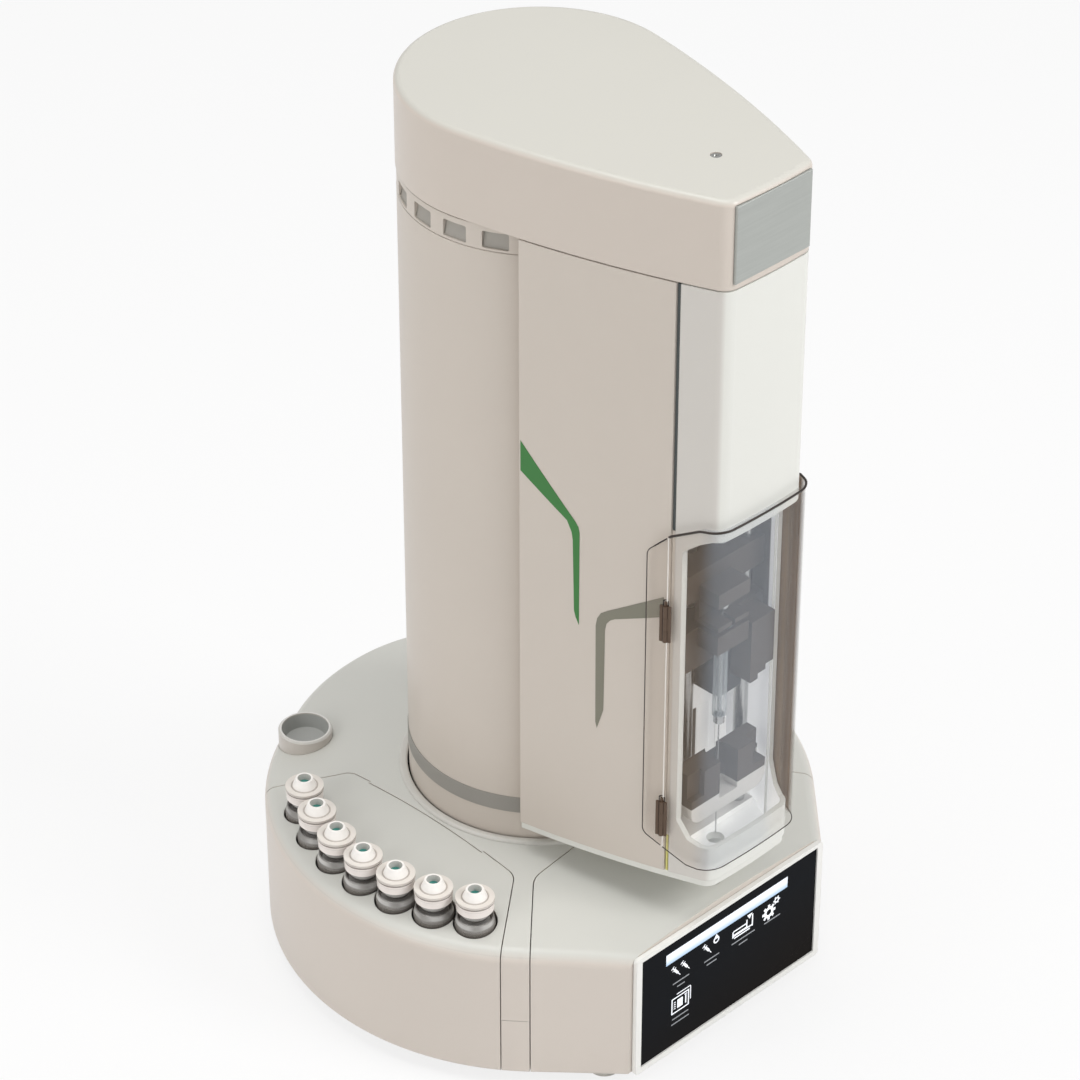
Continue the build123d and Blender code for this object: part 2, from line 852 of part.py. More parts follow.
def sample_tray():
    """The lift-out sector: a block with a row of merged wells, and a skirt down to the rim."""
    body = base_body() & tray_region(seam, foot_height - overrun, cone_apex)
    low = foot_height - overrun
    body -= at(0, 0, low) * extrude(base_face(base_wall), amount=tray_under - low)
    for x, y in vial_places():
        body -= rod(well_radius, vial_bottom - seat_gap, cone_apex, x, y)
    return body


def vial_glass_solid(x, y):
    """A short vial with a rounded shoulder, a neck and a lip."""
    inner = vial_radius - vial_glass
    neck = vial_neck_radius - vial_glass
    slope = vial_glass
    points = [
        (0, vial_bottom),
        (vial_radius - vial_glass, vial_bottom),
        (vial_radius, vial_bottom + vial_glass),
        (vial_radius, vial_shoulder),
        (vial_neck_radius + 2 * vial_glass, vial_neck_low - slope),
        (vial_neck_radius, vial_neck_low),
        (vial_neck_radius, vial_lip_low),
        (vial_lip_radius, vial_lip_low),
        (vial_lip_radius, vial_lip_high),
        (neck, vial_lip_high),
        (neck, vial_neck_low - slope),
        (inner, vial_shoulder - slope),
        (inner, vial_bottom + 2 * vial_glass),
        (0, vial_bottom + 2 * vial_glass),
    ]
    return at(x, y) * turned(points)


def vial_cap_solids(x, y):
    """A cap with a flange, a lip under it and a funnel, and its septum as a solid of its own."""
    flange_low = cap_flange_top - cap_flange_height
    groove_low = flange_low - cap_groove
    groove_radius = cap_skirt_radius - cap_groove_depth
    bead_radius = cap_skirt_radius + cap_bead
    bead_low = groove_low - cap_bead_height
    septum_top = cap_flange_top + funnel_height - septum_depth
    seat = vial_lip_high + slip / 2
    cap = turned(
        [
            (vial_lip_radius + slip / 2, cap_skirt_low),
            (cap_skirt_radius, cap_skirt_low),
            (cap_skirt_radius, bead_low - cap_bead),
            (bead_radius, bead_low),
            (bead_radius, groove_low),
            (groove_radius, groove_low),
            (groove_radius, flange_low),
            (cap_flange_radius, flange_low),
            (cap_flange_radius, cap_flange_top),
            (funnel_radius + funnel_groove, cap_flange_top),
            (funnel_radius + funnel_groove - funnel_groove_depth, cap_flange_top - funnel_groove_depth),
            (funnel_radius, cap_flange_top - funnel_groove_depth),
            (funnel_top_radius, cap_flange_top + funnel_height),
            (funnel_mouth, cap_flange_top + funnel_height),
            (funnel_mouth - cap_wall, septum_top + slip / 2),
            (funnel_mouth + cap_wall, septum_top + slip / 2),
            (funnel_mouth + cap_wall, seat),
            (vial_lip_radius + slip / 2, seat),
        ]
    )
    septum = rod(funnel_mouth + cap_wall - slip / 2, seat, septum_top)
    return [at(x, y) * cap, at(x, y) * septum]


# Outlines of the tower


def tower_face(inset=0.0):
    """The tower in plan: a round rear, two long side arcs and a blunt nose."""
    radius = rear_radius - inset
    side = side_radius - inset
    start = radians(side_start_angle)
    centre = ((rear_radius - side_radius) * cos(start), (side_radius - rear_radius) * sin(start))
    join = (radius * cos(start), -radius * sin(start))
    face_centre_y = -(nose_reach - nose_face_radius)
    face_radius = nose_face_radius - inset
    # where the side arc meets the face arc
    apart = hypot(centre[0], centre[1] - face_centre_y)
    along = (side**2 - face_radius**2 + apart**2) / (2 * apart)
    across = sqrt(side**2 - along**2)
    ux, uy = -centre[0] / apart, (face_centre_y - centre[1]) / apart
    foot = (centre[0] + along * ux, centre[1] + along * uy)
    meet = [(foot[0] + k * across * uy, foot[1] - k * across * ux) for k in (-1, 1)]
    corner = min(meet, key=lambda p: p[1])
    turn = (-start + atan2(corner[1] - centre[1], corner[0] - centre[0])) / 2
    middle = (centre[0] + side * cos(turn), centre[1] + side * sin(turn))
    outline = Curve() + ThreePointArc(join, (0, radius), (-join[0], join[1]))
    outline += ThreePointArc((-join[0], join[1]), (-middle[0], middle[1]), (-corner[0], corner[1]))
    outline += ThreePointArc((-corner[0], corner[1]), (0, -nose_reach + inset), corner)
    outline += ThreePointArc(corner, middle, join)
    face = make_face(outline)
    tips = [v for v in face.vertices() if v.Y < corner[1] + seam]
    return fillet(tips, max(nose_corner - inset, nose_corner / 3))


def tower_prism(inset, low, high):
    return at(0, 0, low) * extrude(tower_face(inset), amount=high - low)


def tower_ring(outer, inner, low, high):
    return tower_prism(outer, low, high) - tower_prism(inner, low - overrun, high + overrun)


def slab(y_low, y_high, low=0.0, high=2 * cap_top, x_low=-2 * base_radius, x_high=2 * base_radius):
    """Everything between two planes across the tower, for cutting covers to length."""
    return block(x_low, x_high, y_low, y_high, low, high)


# Pieces of the tower


def column_shell():
    """The rear tube of the tower with its ring of vents, closed all round below the floor plate."""
    outer, inner = column_radius, column_radius - column_wall
    shell = tube(outer, inner, column_foot, tower_split)
    front = slab(-base_radius, -panel_rear_y - column_lap, tower_floor - seat_gap, cap_top)
    shell -= front
    for i in range(vent_count):
        angle = vent_first_angle + i * vent_pitch_angle
        vent = wide_block(vent_width, outer - 2 * column_wall, outer + column_wall, vent_low, vent_top)
        vent = fillet(vent.edges().filter_by(Axis.Y), vent_round_share * vent_width)
        shell -= Rot(0, 0, angle - 180) * vent
    groove = tube(outer + overrun, outer - vent_groove, vent_groove_low, vent_groove_low + vent_groove)
    return shell - groove


def column_band():
    """The thin grey band round the foot of the column."""
    band = tube(column_radius + band_thick, column_radius + running, band_low, band_top)
    return band - slab(-base_radius, -panel_rear_y, band_low - overrun, band_top + overrun)


def side_panel(side):
    """A side panel with the return flange that closes it on the column."""
    panel = tower_ring(0, tower_wall, tower_low, tower_split) & slab(-slot_rear_y, -panel_rear_y)
    flange = tower_prism(tower_wall / 2, tower_low, tower_split) & slab(
        -panel_rear_y - tower_wall, -panel_rear_y
    )
    panel += flange - rod(column_radius + slip, tower_low - overrun, tower_split + overrun)
    half = block(0, base_radius, -base_radius - overrun, 0, 0, 2 * cap_top)
    if side < 0:
        half = mirror(half, about=Plane.YZ)
    return panel & half


def window_cut():
    """The opening in the nose, which wraps round both corners, as an outline in Y and Z."""
    front = nose_reach + base_wall
    edge = window_edge_y
    points = [
        (-edge, window_side_low),
        (-edge, window_side_top),
        (-edge - 3 * base_wall, window_top - base_wall),
        (-edge - 5 * base_wall, window_top),
        (-front, window_top),
        (-front, window_low),
        (-edge - 4 * base_wall, window_low),
        (-edge - 2 * base_wall, window_low + base_wall),
    ]
    return profile_bar(points, rear_radius, base_wall, (0, 1, 2, 7))


def front_cover():
    """The nose of the tower, with its window and a tongue behind each seam."""
    cover = tower_ring(0, tower_wall, tower_low, tower_split) & slab(-base_radius - nose_reach, -slot_front_y)
    tongue = tower_wall + seat_gap
    behind = tower_ring(tongue, tongue + tower_wall / 2, tower_low, tower_split)
    cover += behind & slab(-slot_front_y - tower_wall, -slot_rear_y + tower_wall)
    step = tower_ring(tower_wall / 2, tongue + tower_wall / 2, tower_low, tower_split)
    cover += step & slab(-slot_front_y - tower_wall, -slot_front_y)
    return cover - window_cut()


def tower_cap():
    """The cap over column and nose, with a pocket for the plate and a sunk screw."""
    cap = tower_prism(0, cap_low, cap_top)
    top = [e for e in cap.edges() if e.bounding_box().min.Z > cap_top - seam]
    cap = fillet(top, cap_edge)
    cap -= tower_prism(cap_wall_thick, cap_low - overrun, cap_top - cap_wall_thick)
    front, back = -nose_reach - overrun, -nose_reach + badge_sink
    cap -= wide_block(badge_width + 2 * slip, front, back, badge_low - slip, badge_top + slip)
    cap -= rod(cap_screw_radius, cap_top - cap_screw_sink, cap_top + overrun, 0, -cap_screw_y)
    post = rod(2 * cap_screw_radius, cap_low, cap_top - cap_wall_thick / 2, 0, -cap_screw_y)
    return cap + post - rod(cap_screw_radius / 2 + slip, cap_low - overrun, cap_top, 0, -cap_screw_y)


def badge_plate():
    """A bare metal plate on the cap's nose."""
    back = -nose_reach + badge_sink - slip / 2
    plate = wide_block(badge_width, back - badge_thick, back, badge_low, badge_top)
    return chamfer([e for e in plate.edges() if e.center().Y < back - badge_thick + slip], badge_edge / 2)


def cap_screw():
    """The screw that holds the cap, its head sunk in the top."""
    head = rod(
        cap_screw_radius - slip, cap_top - cap_screw_sink, cap_top - cap_screw_sink / 3, 0, -cap_screw_y
    )
    head -= rod(cap_screw_socket, cap_top - cap_screw_depth, cap_top, 0, -cap_screw_y)
    return head + rod(cap_screw_radius / 2, cap_low + overrun, cap_top - cap_screw_sink, 0, -cap_screw_y)


def floor_plate():
    """The plate under the nose, set in from the covers, with the needle's hole."""
    plate = tower_prism(floor_inset, tower_floor, tower_low) & slab(-base_radius - nose_reach, -panel_rear_y)
    plate -= rod(column_radius + slip, tower_floor - overrun, tower_low + overrun)
    return plate - rod(floor_hole, tower_floor - overrun, tower_low + overrun, 0, needle_y)


def swivel_hub():
    """The turned hub under the tower: shaft, gear, disc and boss in one."""
    hub = rod(hub_radius, floor_top + pedestal_foot + seat_gap, hub_disc_low)
    hub += at(0, 0, gear_low) * extrude(gear_face(gear_teeth), amount=gear_width)
    hub += rod(column_radius - column_wall - slip, hub_disc_low, hub_disc_low + hub_disc)
    return hub + rod(hub_boss_radius, hub_disc_low, tower_low + seat_gap)


def chassis():
    """The plate frame in the tower: a shelf on the hub, a back wall and a head bracket."""
    shelf_low = tower_low + seat_gap
    shelf = wide_block(shelf_width, -shelf_reach, hub_boss_radius, shelf_low, shelf_low + chassis_plate)
    wall = wide_block(chassis_width, -chassis_y, -chassis_y + chassis_plate, shelf_low, chassis_top)
    head = wide_block(
        shelf_width, -shelf_reach, -chassis_y + motor_size, chassis_top, chassis_top + bracket_thick
    )
    opening = (-chassis_y - overrun, -chassis_y + 2 * chassis_plate, shelf_low + 2 * chassis_plate, wall_low)
    wall -= wide_block(chassis_width - 4 * chassis_plate, *opening)
    frame = shelf + wall + head
    for side in (-1, 1):
        x = side * (shelf_width - chassis_plate) / 2
        rib = wide_block(chassis_plate, -chassis_y, -hub_boss_radius, shelf_low, chassis_top, x)
        near, far = -chassis_y + 3 * chassis_plate, -hub_boss_radius
        low, high = shelf_low + 8 * chassis_plate, chassis_top - 6 * chassis_plate
        window = profile_bar([(near, low), (far, low), (far + overrun, high), (near, high)], rear_radius)
        frame += rib - window
    for x, y in shaft_places():
        frame -= rod(shaft_radius + running, shelf_low - overrun, chassis_top + 2 * bracket_thick, x, y)
    frame -= rod(motor_pilot + slip, chassis_top - overrun, chassis_top + 2 * bracket_thick, 0, -screw_y)
    return frame


def shaft_places():
    return [(-shaft_x, -shaft_y), (shaft_x, -shaft_y)]


def guide_shafts():
    low = tower_low + seat_gap
    return [rod(shaft_radius, low, chassis_top + bracket_thick, x, y) for x, y in shaft_places()]


def lift_motor():
    """The motor over the head bracket that turns the lead screw."""
    low = chassis_top + bracket_thick
    body = wide_block(
        motor_size, -screw_y - motor_size / 2, -screw_y + motor_size / 2, low, low + motor_length
    )
    body = chamfer(body.edges().filter_by(Axis.Z), motor_size / 10)
    return body + rod(motor_pilot, low - motor_size / 20, low, 0, -screw_y)


def lead_screw():
    """The lead screw, which the lift motor turns."""
    high = chassis_top + bracket_thick - motor_size / 20 - seat_gap
    screw = rod(screw_radius, screw_low, high, 0, -screw_y)
    tail = rod(screw_radius / 2, tower_low + seat_gap + chassis_plate + seat_gap, screw_low, 0, -screw_y)
    return screw + tail


def needle_guide():
    """The dark block that steadies the needle: a bar clamped on the shafts and a slotted head."""
    bar = wide_block(
        guide_bar_width, -guide_bar_front_y, -guide_back_y, guide_low, guide_low + guide_bar_height
    )
    head = wide_block(guide_width, -guide_front_y, -guide_bar_front_y, guide_low, guide_high)
    under = [e for e in head.edges().filter_by(Axis.Y) if e.center().Z < guide_low + seam]
    body = bar + fillet(under, guide_corner)
    slot = rod(guide_slot, guide_low + guide_web, guide_high + overrun, 0, needle_y)
    slot += wide_block(
        2 * guide_slot, -guide_front_y - overrun, needle_y, guide_low + guide_web, guide_high + overrun
    )
    body -= slot
    body -= rod(guide_hole, guide_low - overrun, guide_high, 0, needle_y)
    step = guide_high - 2 * guide_web
    front, high = -guide_front_y - overrun, guide_high + overrun
    body -= block(guide_width / 3, guide_width, front, -guide_front_y + guide_slot, step, high)
    body -= block(-guide_width, -guide_width / 3, front, -guide_front_y + guide_slot / 2, step, high)
    for x, y in shaft_places():
        body -= rod(shaft_radius + running, guide_low - overrun, guide_high + overrun, x, y)
    return body


def door_outline(y_low, y_high):
    """The side view of the door, as a bar across the tower."""
    front = -nose_reach - 3 * door_thick
    edge = -door_edge_y
    points = [
        (edge, door_side_low),
        (edge, door_side_top - 2 * door_thick),
        (edge - 4 * door_thick, door_top - 3 * door_thick),
        (edge - 9 * door_thick, door_top - door_thick / 2),
        (front, door_top),
        (front, door_low),
        (edge - 10 * door_thick, door_low - door_thick / 3),
        (edge - 8 * door_thick, door_low),
    ]
    bar = profile_bar(points, rear_radius, 2 * door_thick, (0, 1, 2, 3))
    return bar & slab(y_low, y_high)


def door_shell():
    """The smoked shell that wraps the nose, before it is split at the hinge line."""
    inner = -door_gap
    outer = -door_gap - door_thick
    return tower_ring(outer, inner, door_low - 4 * door_thick, door_top + 4 * door_thick)


def seam_y():
    return (slot_rear_y + slot_front_y) / 2


def hinge_place():
    """The hinge pin's place, on the outer face of the door at the left seam."""
    offset = door_gap + door_thick + hinge_leaf / 2
    cut = slab(-seam_y() - slip / 4, -seam_y() + slip / 4) & tower_prism(-offset, 0, overrun)
    return cut.bounding_box().min.X, -seam_y()


def smoked_door():
    """The swinging door: everything right of the hinge line."""
    bar = door_outline(-2 * base_radius, -door_edge_y)
    x, y = hinge_place()
    left = block(-base_radius, 0, -seam_y() - seam, 0, 0, cap_top)
    door = (door_shell() & bar) - left
    for low in (hinge_low, hinge_high):
        door -= rod(hinge_knuckle + slip, low - slip, low + hinge_height + hinge_tab + slip, x, y)
    return door


def door_strip():
    """The fixed strip of the same smoked plastic, left of the hinge line."""
    bar = door_outline(-seam_y() + seam, -door_edge_y)
    x, y = hinge_place()
    strip = door_shell() & bar & block(-base_radius, 0, -base_radius, 0, 0, cap_top)
    for low in (hinge_low, hinge_high):
        strip -= rod(hinge_knuckle + slip, low - slip, low + hinge_height + hinge_tab + slip, x, y)
    return strip


def hinge_side(rear):
    """Leaf and knuckles of both hinges, for the strip at the rear or for the door in front."""
    x, y = hinge_place()
    offset = door_gap + door_thick
    y_low, y_high = (y, y + hinge_width / 2) if rear else (y - hinge_width / 2, y)
    gap = hinge_knuckle + slip
    solids = []
    for low in (hinge_low, hinge_high):
        high = low + hinge_height
        third = hinge_height / 3
        plate = tower_ring(-offset - hinge_leaf - slip / 2, -offset - slip / 2, low, high)
        plate &= block(-base_radius, 0, y_low, y_high, low, high)
        spans = [(low + third, high - third)]
        if rear:
            spans = [(low, low + third - hinge_split), (high - third + hinge_split, high)]
        plate -= rod(gap, low - overrun, high + overrun, x, y)
        part = plate
        for span in spans:
            part += rod(hinge_knuckle, *span, x, y)
            reach = block(x - hinge_leaf / 2, x + hinge_leaf / 2, y_low, y_high, *span)
            part += reach & tower_ring(-offset - hinge_leaf - slip / 2, -offset - slip / 2, *span)
        if rear:
            part += rod(hinge_pin, low, high + hinge_tab, x, y)
            part += block(x - hinge_pin, x + hinge_pin, y - hinge_pin, y + hinge_pin, high, high + hinge_tab)
        else:
            part -= rod(hinge_pin + running, low - overrun, high + overrun, x, y)
        solids.append(part)
    return solids


# Syringe drive


def syringe_carriage():
    """The block that rides the guide shafts and grips the syringe's flange."""
    body = wide_block(carriage_width, -carriage_front_y, -carriage_back_y, carriage_low, carriage_high)
    grip = wide_block(
        grip_width, -grip_front_y, -carriage_front_y, barrel_high - 2 * base_wall, carriage_high
    )
    body += grip
    for i in range(wing_steps):
        left = wing_inner_x + i * wing_step_width
        low = wing_low + i * wing_rise
        body += block(
            left, left + wing_step_width, -wing_front_y, -carriage_front_y, low, carriage_high - base_wall
        )
    body -= rod(barrel_radius + slip, carriage_low - overrun, carriage_high + overrun, 0, needle_y)
    body -= rod(barrel_flange + slip, barrel_high - slip / 2, carriage_high + overrun, 0, needle_y)
    for x, y in shaft_places():
        body -= rod(shaft_radius + running, carriage_low - overrun, carriage_high + overrun, x, y)
    body -= rod(screw_radius + running, carriage_low - overrun, carriage_high + overrun, 0, -screw_y)
    low, high = carriage_low - overrun, carriage_high + overrun
    return body - rod(plunger_screw_radius + 2 * running, low, high, plunger_screw_x, -plunger_screw_y)


def syringe_barrel():
    """The glass barrel with its finger flange."""
    barrel = rod(barrel_radius, barrel_low, barrel_high, 0, needle_y)
    barrel += rod(barrel_flange, barrel_high, barrel_high + barrel_flange_thick, 0, needle_y)
    return barrel - rod(barrel_bore, barrel_low + overrun, barrel_high + 2 * barrel_flange_thick, 0, needle_y)


def syringe_needle():
    """The steel needle and its hub below the barrel."""
    hub = rod(needle_hub, barrel_low - needle_hub_length, barrel_low, 0, needle_y)
    return hub + rod(needle_radius, needle_tip, barrel_low - needle_hub_length, 0, needle_y)


def plunger_motor():
    """The small motor under the carriage that turns the plunger screw."""
    half = plunger_motor_size / 2
    low = carriage_low - plunger_motor_length
    near, far = -plunger_screw_y - half, -plunger_screw_y + half
    body = wide_block(plunger_motor_size, near, far, low, carriage_low, plunger_screw_x)
    return chamfer(body.edges().filter_by(Axis.Z), plunger_motor_size / 10)


def plunger_screw():
    """The small screw that lifts the plunger block."""
    return rod(
        plunger_screw_radius, carriage_low + seat_gap, plunger_screw_top, plunger_screw_x, -plunger_screw_y
    )


def plunger_carriage():
    """The upper block, which holds the plunger's knob in a forked arm."""
    body = wide_block(
        carriage_width, -carriage_front_y, -carriage_back_y, plunger_block_low, plunger_block_high
    )
    fork_low = knob_height - 3 * base_wall
    front = -carriage_front_y
    body += wide_block(grip_width, -grip_front_y, front, plunger_block_low, plunger_block_low + 3 * base_wall)
    body += wide_block(grip_width, -grip_front_y, front, fork_low, fork_low + base_wall)
    body += wide_block(grip_width, front, front + base_wall, fork_low, plunger_block_low)
    slot_low, slot_high = knob_height - 4 * base_wall, knob_height - base_wall
    body -= wide_block(2 * (plunger_radius + slip), -grip_front_y - overrun, needle_y, slot_low, slot_high)
    body -= rod(plunger_radius + slip, slot_low, knob_height, 0, needle_y)
    low, high = plunger_block_low - overrun, plunger_block_high + overrun
    for x, y in shaft_places():
        body -= rod(shaft_radius + running, low, high, x, y)
    body -= rod(screw_radius + overrun, low, high, 0, -screw_y)
    return body - rod(plunger_screw_radius + running, low, high, plunger_screw_x, -plunger_screw_y)


def syringe_plunger():
    """The plunger rod and its round knob."""
    low = barrel_low + 2 * overrun
    rodlet = rod(plunger_radius, barrel_high + barrel_flange_thick + overrun, knob_height, 0, needle_y)
    rodlet += rod(barrel_bore - running, low, barrel_high + barrel_flange_thick + overrun, 0, needle_y)
    return rodlet + at(0, needle_y, knob_height) * Sphere(knob_radius)


def nodes():
    """Every piece by name."""
    pieces = {
        "base_pan": base_pan(),
        "base_cover": base_cover(),
        "cup_holder": cup_holder(),
        "display_housing": display_housing(),
        "display_bezel": display_bezel(),
        "touch_glass": touch_glass(),
        "display_module": display_module(),
        "waste_port": waste_port(),
        "injector_collar": injector_collar(),
        "column_ring": column_ring(),
        "swivel_pedestal": swivel_pedestal(),
        "swivel_bearing": swivel_bearing(),
        "swivel_motor": swivel_motor(),
        "control_board": control_board(),
        "power_inlet": power_inlet(),
        "data_ports": data_ports(),
        "feet": feet(),
        "power_switch": power_switch(),
        "swivel_pinion": swivel_pinion(),
        "sample_tray": sample_tray(),
        "column_shell": column_shell(),
        "column_band": column_band(),
        "left_panel": side_panel(-1),
        "right_panel": side_panel(1),
        "front_cover": front_cover(),
        "tower_cap": tower_cap(),
        "badge_plate": badge_plate(),
        "cap_screw": cap_screw(),
        "floor_plate": floor_plate(),
        "swivel_hub": swivel_hub(),
        "chassis": chassis(),
        "guide_shafts": guide_shafts(),
        "lift_motor": lift_motor(),
        "needle_guide": needle_guide(),
        "door_strip": door_strip(),
        "strip_hinges": hinge_side(True),
        "smoked_door": smoked_door(),
        "door_hinges": hinge_side(False),
        "lead_screw": lead_screw(),
        "syringe_carriage": syringe_carriage(),
        "syringe_barrel": syringe_barrel(),
        "syringe_needle": syringe_needle(),
        "plunger_motor": plunger_motor(),
        "plunger_screw": plunger_screw(),
        "plunger_carriage": plunger_carriage(),
        "syringe_plunger": syringe_plunger(),
    }
    for number, (x, y) in enumerate(vial_places(), start=1):
        pieces[f"vial_glass_{number}"] = vial_glass_solid(x, y)
        pieces[f"vial_cap_{number}"] = vial_cap_solids(x, y)
    return pieces


def as_solids(piece):
    """The separate solids of a piece, one for each closed body."""
    parts = piece if isinstance(piece, list) else [piece]
    return [solid for part in parts for solid in part.solids()]


def main():
    os.makedirs("parts", exist_ok=True)
    print("door hinge", hinge_place())
    for name, piece in nodes().items():
        solids = as_solids(piece)
        shape = solids[0] if len(solids) == 1 else Compound(children=solids)
        export_step(shape, f"parts/{name}.step")
        print(name, len(solids), round(sum(s.volume for s in solids)))


main()
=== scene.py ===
import bpy
import bmesh
import math
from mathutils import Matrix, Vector


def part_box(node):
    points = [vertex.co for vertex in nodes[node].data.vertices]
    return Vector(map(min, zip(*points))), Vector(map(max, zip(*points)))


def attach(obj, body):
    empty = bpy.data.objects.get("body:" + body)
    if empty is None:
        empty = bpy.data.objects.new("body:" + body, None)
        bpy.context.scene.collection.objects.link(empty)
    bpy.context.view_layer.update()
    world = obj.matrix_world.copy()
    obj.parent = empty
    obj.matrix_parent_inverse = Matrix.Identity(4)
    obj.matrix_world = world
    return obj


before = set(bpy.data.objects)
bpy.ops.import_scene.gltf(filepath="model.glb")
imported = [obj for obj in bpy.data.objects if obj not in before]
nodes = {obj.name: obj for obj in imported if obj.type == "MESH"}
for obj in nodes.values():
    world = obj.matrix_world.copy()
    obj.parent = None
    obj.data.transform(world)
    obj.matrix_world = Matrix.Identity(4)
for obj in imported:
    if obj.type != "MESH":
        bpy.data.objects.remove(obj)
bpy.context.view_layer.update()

# Sizes that the pieces below share with the model, in metres and degrees
REAR_R, SIDE_R = 0.075, 0.663  # rear tube and side arcs of the tower
SIDE_START = math.radians(9.45)  # where a side arc leaves the tube
SEAM_Y = -0.1376  # seam between side panels and front cover, and the door's hinge line
SEAM_FRONT, SEAM_REAR = -0.1388, -0.1364  # room for a filler in that seam
SEAM_TOP, DOOR_FOOT, DOOR_HEAD = 0.497, 0.152, 0.350  # heights along the seam
COVER_TOP, COVER_FALL = 0.1243, 0.2  # height of the base's top at its middle, and its fall outwards
VIALS, VIAL_R, VIAL_FIRST, VIAL_PITCH = 7, 0.1366, -120.6, 10.15
CUP_X, CUP_Y = -0.07273, 0.11915
FRAME_FOOT = 0.245  # below it the frame in the tower is white
VENTS, VENT_FIRST, VENT_PITCH = 14, -117.6, 18.1


def lin(r, g, b):
    """A colour of the picture, 0 to 255, as Blender's linear colour."""
    out = []
    for v in (r, g, b):
        v /= 255
        out.append(v / 12.92 if v <= 0.04045 else ((v + 0.055) / 1.055) ** 2.4)
    return (*out, 1)


# Materials


def shader_of(m):
    return m.node_tree.nodes["Principled BSDF"]


def material(name, colour, rough=0.45, metal=0.0, vary=0.03, scale=60, bump=0.0, bump_scale=900,
             coat=0.0, stretch=(1, 1, 1), ior=1.45, edge=0.0, rough_vary=0.08):
    """A principled material with colour drift, fine bump, uneven gloss and, if asked, softened edges."""
    m = bpy.data.materials.new(name)
    m.use_nodes = True
    n, l = m.node_tree.nodes, m.node_tree.links
    p = shader_of(m)
    co = n.new("ShaderNodeTexCoord")
    mp = n.new("ShaderNodeMapping")
    mp.inputs["Scale"].default_value = stretch
    l.new(co.outputs["Object"], mp.inputs["Vector"])
    big = n.new("ShaderNodeTexNoise")
    big.inputs["Scale"].default_value = scale
    big.inputs["Detail"].default_value = 4
    l.new(mp.outputs["Vector"], big.inputs["Vector"])
    ramp = n.new("ShaderNodeValToRGB")
    ramp.color_ramp.elements[0].position = 0.3
    ramp.color_ramp.elements[1].position = 0.7
    ramp.color_ramp.elements[0].color = [c * (1 - vary) for c in colour[:3]] + [1]
    ramp.color_ramp.elements[1].color = [min(1, c * (1 + vary)) for c in colour[:3]] + [1]
    l.new(big.outputs["Fac"], ramp.inputs["Fac"])
    l.new(ramp.outputs["Color"], p.inputs["Base Color"])
    if rough_vary:
        rr = n.new("ShaderNodeMapRange")
        rr.inputs["To Min"].default_value = max(0.02, rough * (1 - rough_vary))
        rr.inputs["To Max"].default_value = min(1, rough * (1 + rough_vary))
        l.new(big.outputs["Fac"], rr.inputs["Value"])
        l.new(rr.outputs["Result"], p.inputs["Roughness"])
    else:
        p.inputs["Roughness"].default_value = rough
    p.inputs["Metallic"].default_value = metal
    p.inputs["IOR"].default_value = ior
    p.inputs["Coat Weight"].default_value = coat
    p.inputs["Coat Roughness"].default_value = 0.12
    normal = None
    if edge:
        bev = n.new("ShaderNodeBevel")
        bev.samples = 4
        bev.inputs["Radius"].default_value = edge
        normal = bev.outputs["Normal"]
    if bump:
        fine = n.new("ShaderNodeTexNoise")
        fine.inputs["Scale"].default_value = bump_scale
        fine.inputs["Detail"].default_value = 2
        l.new(mp.outputs["Vector"], fine.inputs["Vector"])
        b = n.new("ShaderNodeBump")
        b.inputs["Strength"].default_value = bump
        b.inputs["Distance"].default_value = 0.0004
        l.new(fine.outputs["Fac"], b.inputs["Height"])
        if normal:
            l.new(normal, b.inputs["Normal"])
        normal = b.outputs["Normal"]
    if normal:
        l.new(normal, p.inputs["Normal"])
    return m


def glassy(name, colour, edge_colour, face_alpha, edge_alpha, blend=0.35):
    """A clear glass or plastic: little colour face on, more at a grazing look."""
    m = material(name, colour, rough=0.04, vary=0.01, rough_vary=0, ior=1.49)
    n, l = m.node_tree.nodes, m.node_tree.links
    p = shader_of(m)
    lw = n.new("ShaderNodeLayerWeight")
    lw.inputs["Blend"].default_value = blend
    a = n.new("ShaderNodeMapRange")
    a.inputs["To Min"].default_value = face_alpha
    a.inputs["To Max"].default_value = edge_alpha
    l.new(lw.outputs["Facing"], a.inputs["Value"])
    l.new(a.outputs["Result"], p.inputs["Alpha"])
    mix = n.new("ShaderNodeMix")
    mix.data_type = "RGBA"
    l.new(lw.outputs["Facing"], mix.inputs["Factor"])
    mix.inputs[6].default_value = colour
    mix.inputs[7].default_value = edge_colour
    l.new(mix.outputs[2], p.inputs["Base Color"])
    return m


def shine(m, colour, strength=0.0):
    """Gives a material a light of its own."""
    shader_of(m).inputs["Emission Color"].default_value = colour
    shader_of(m).inputs["Emission Strength"].default_value = strength


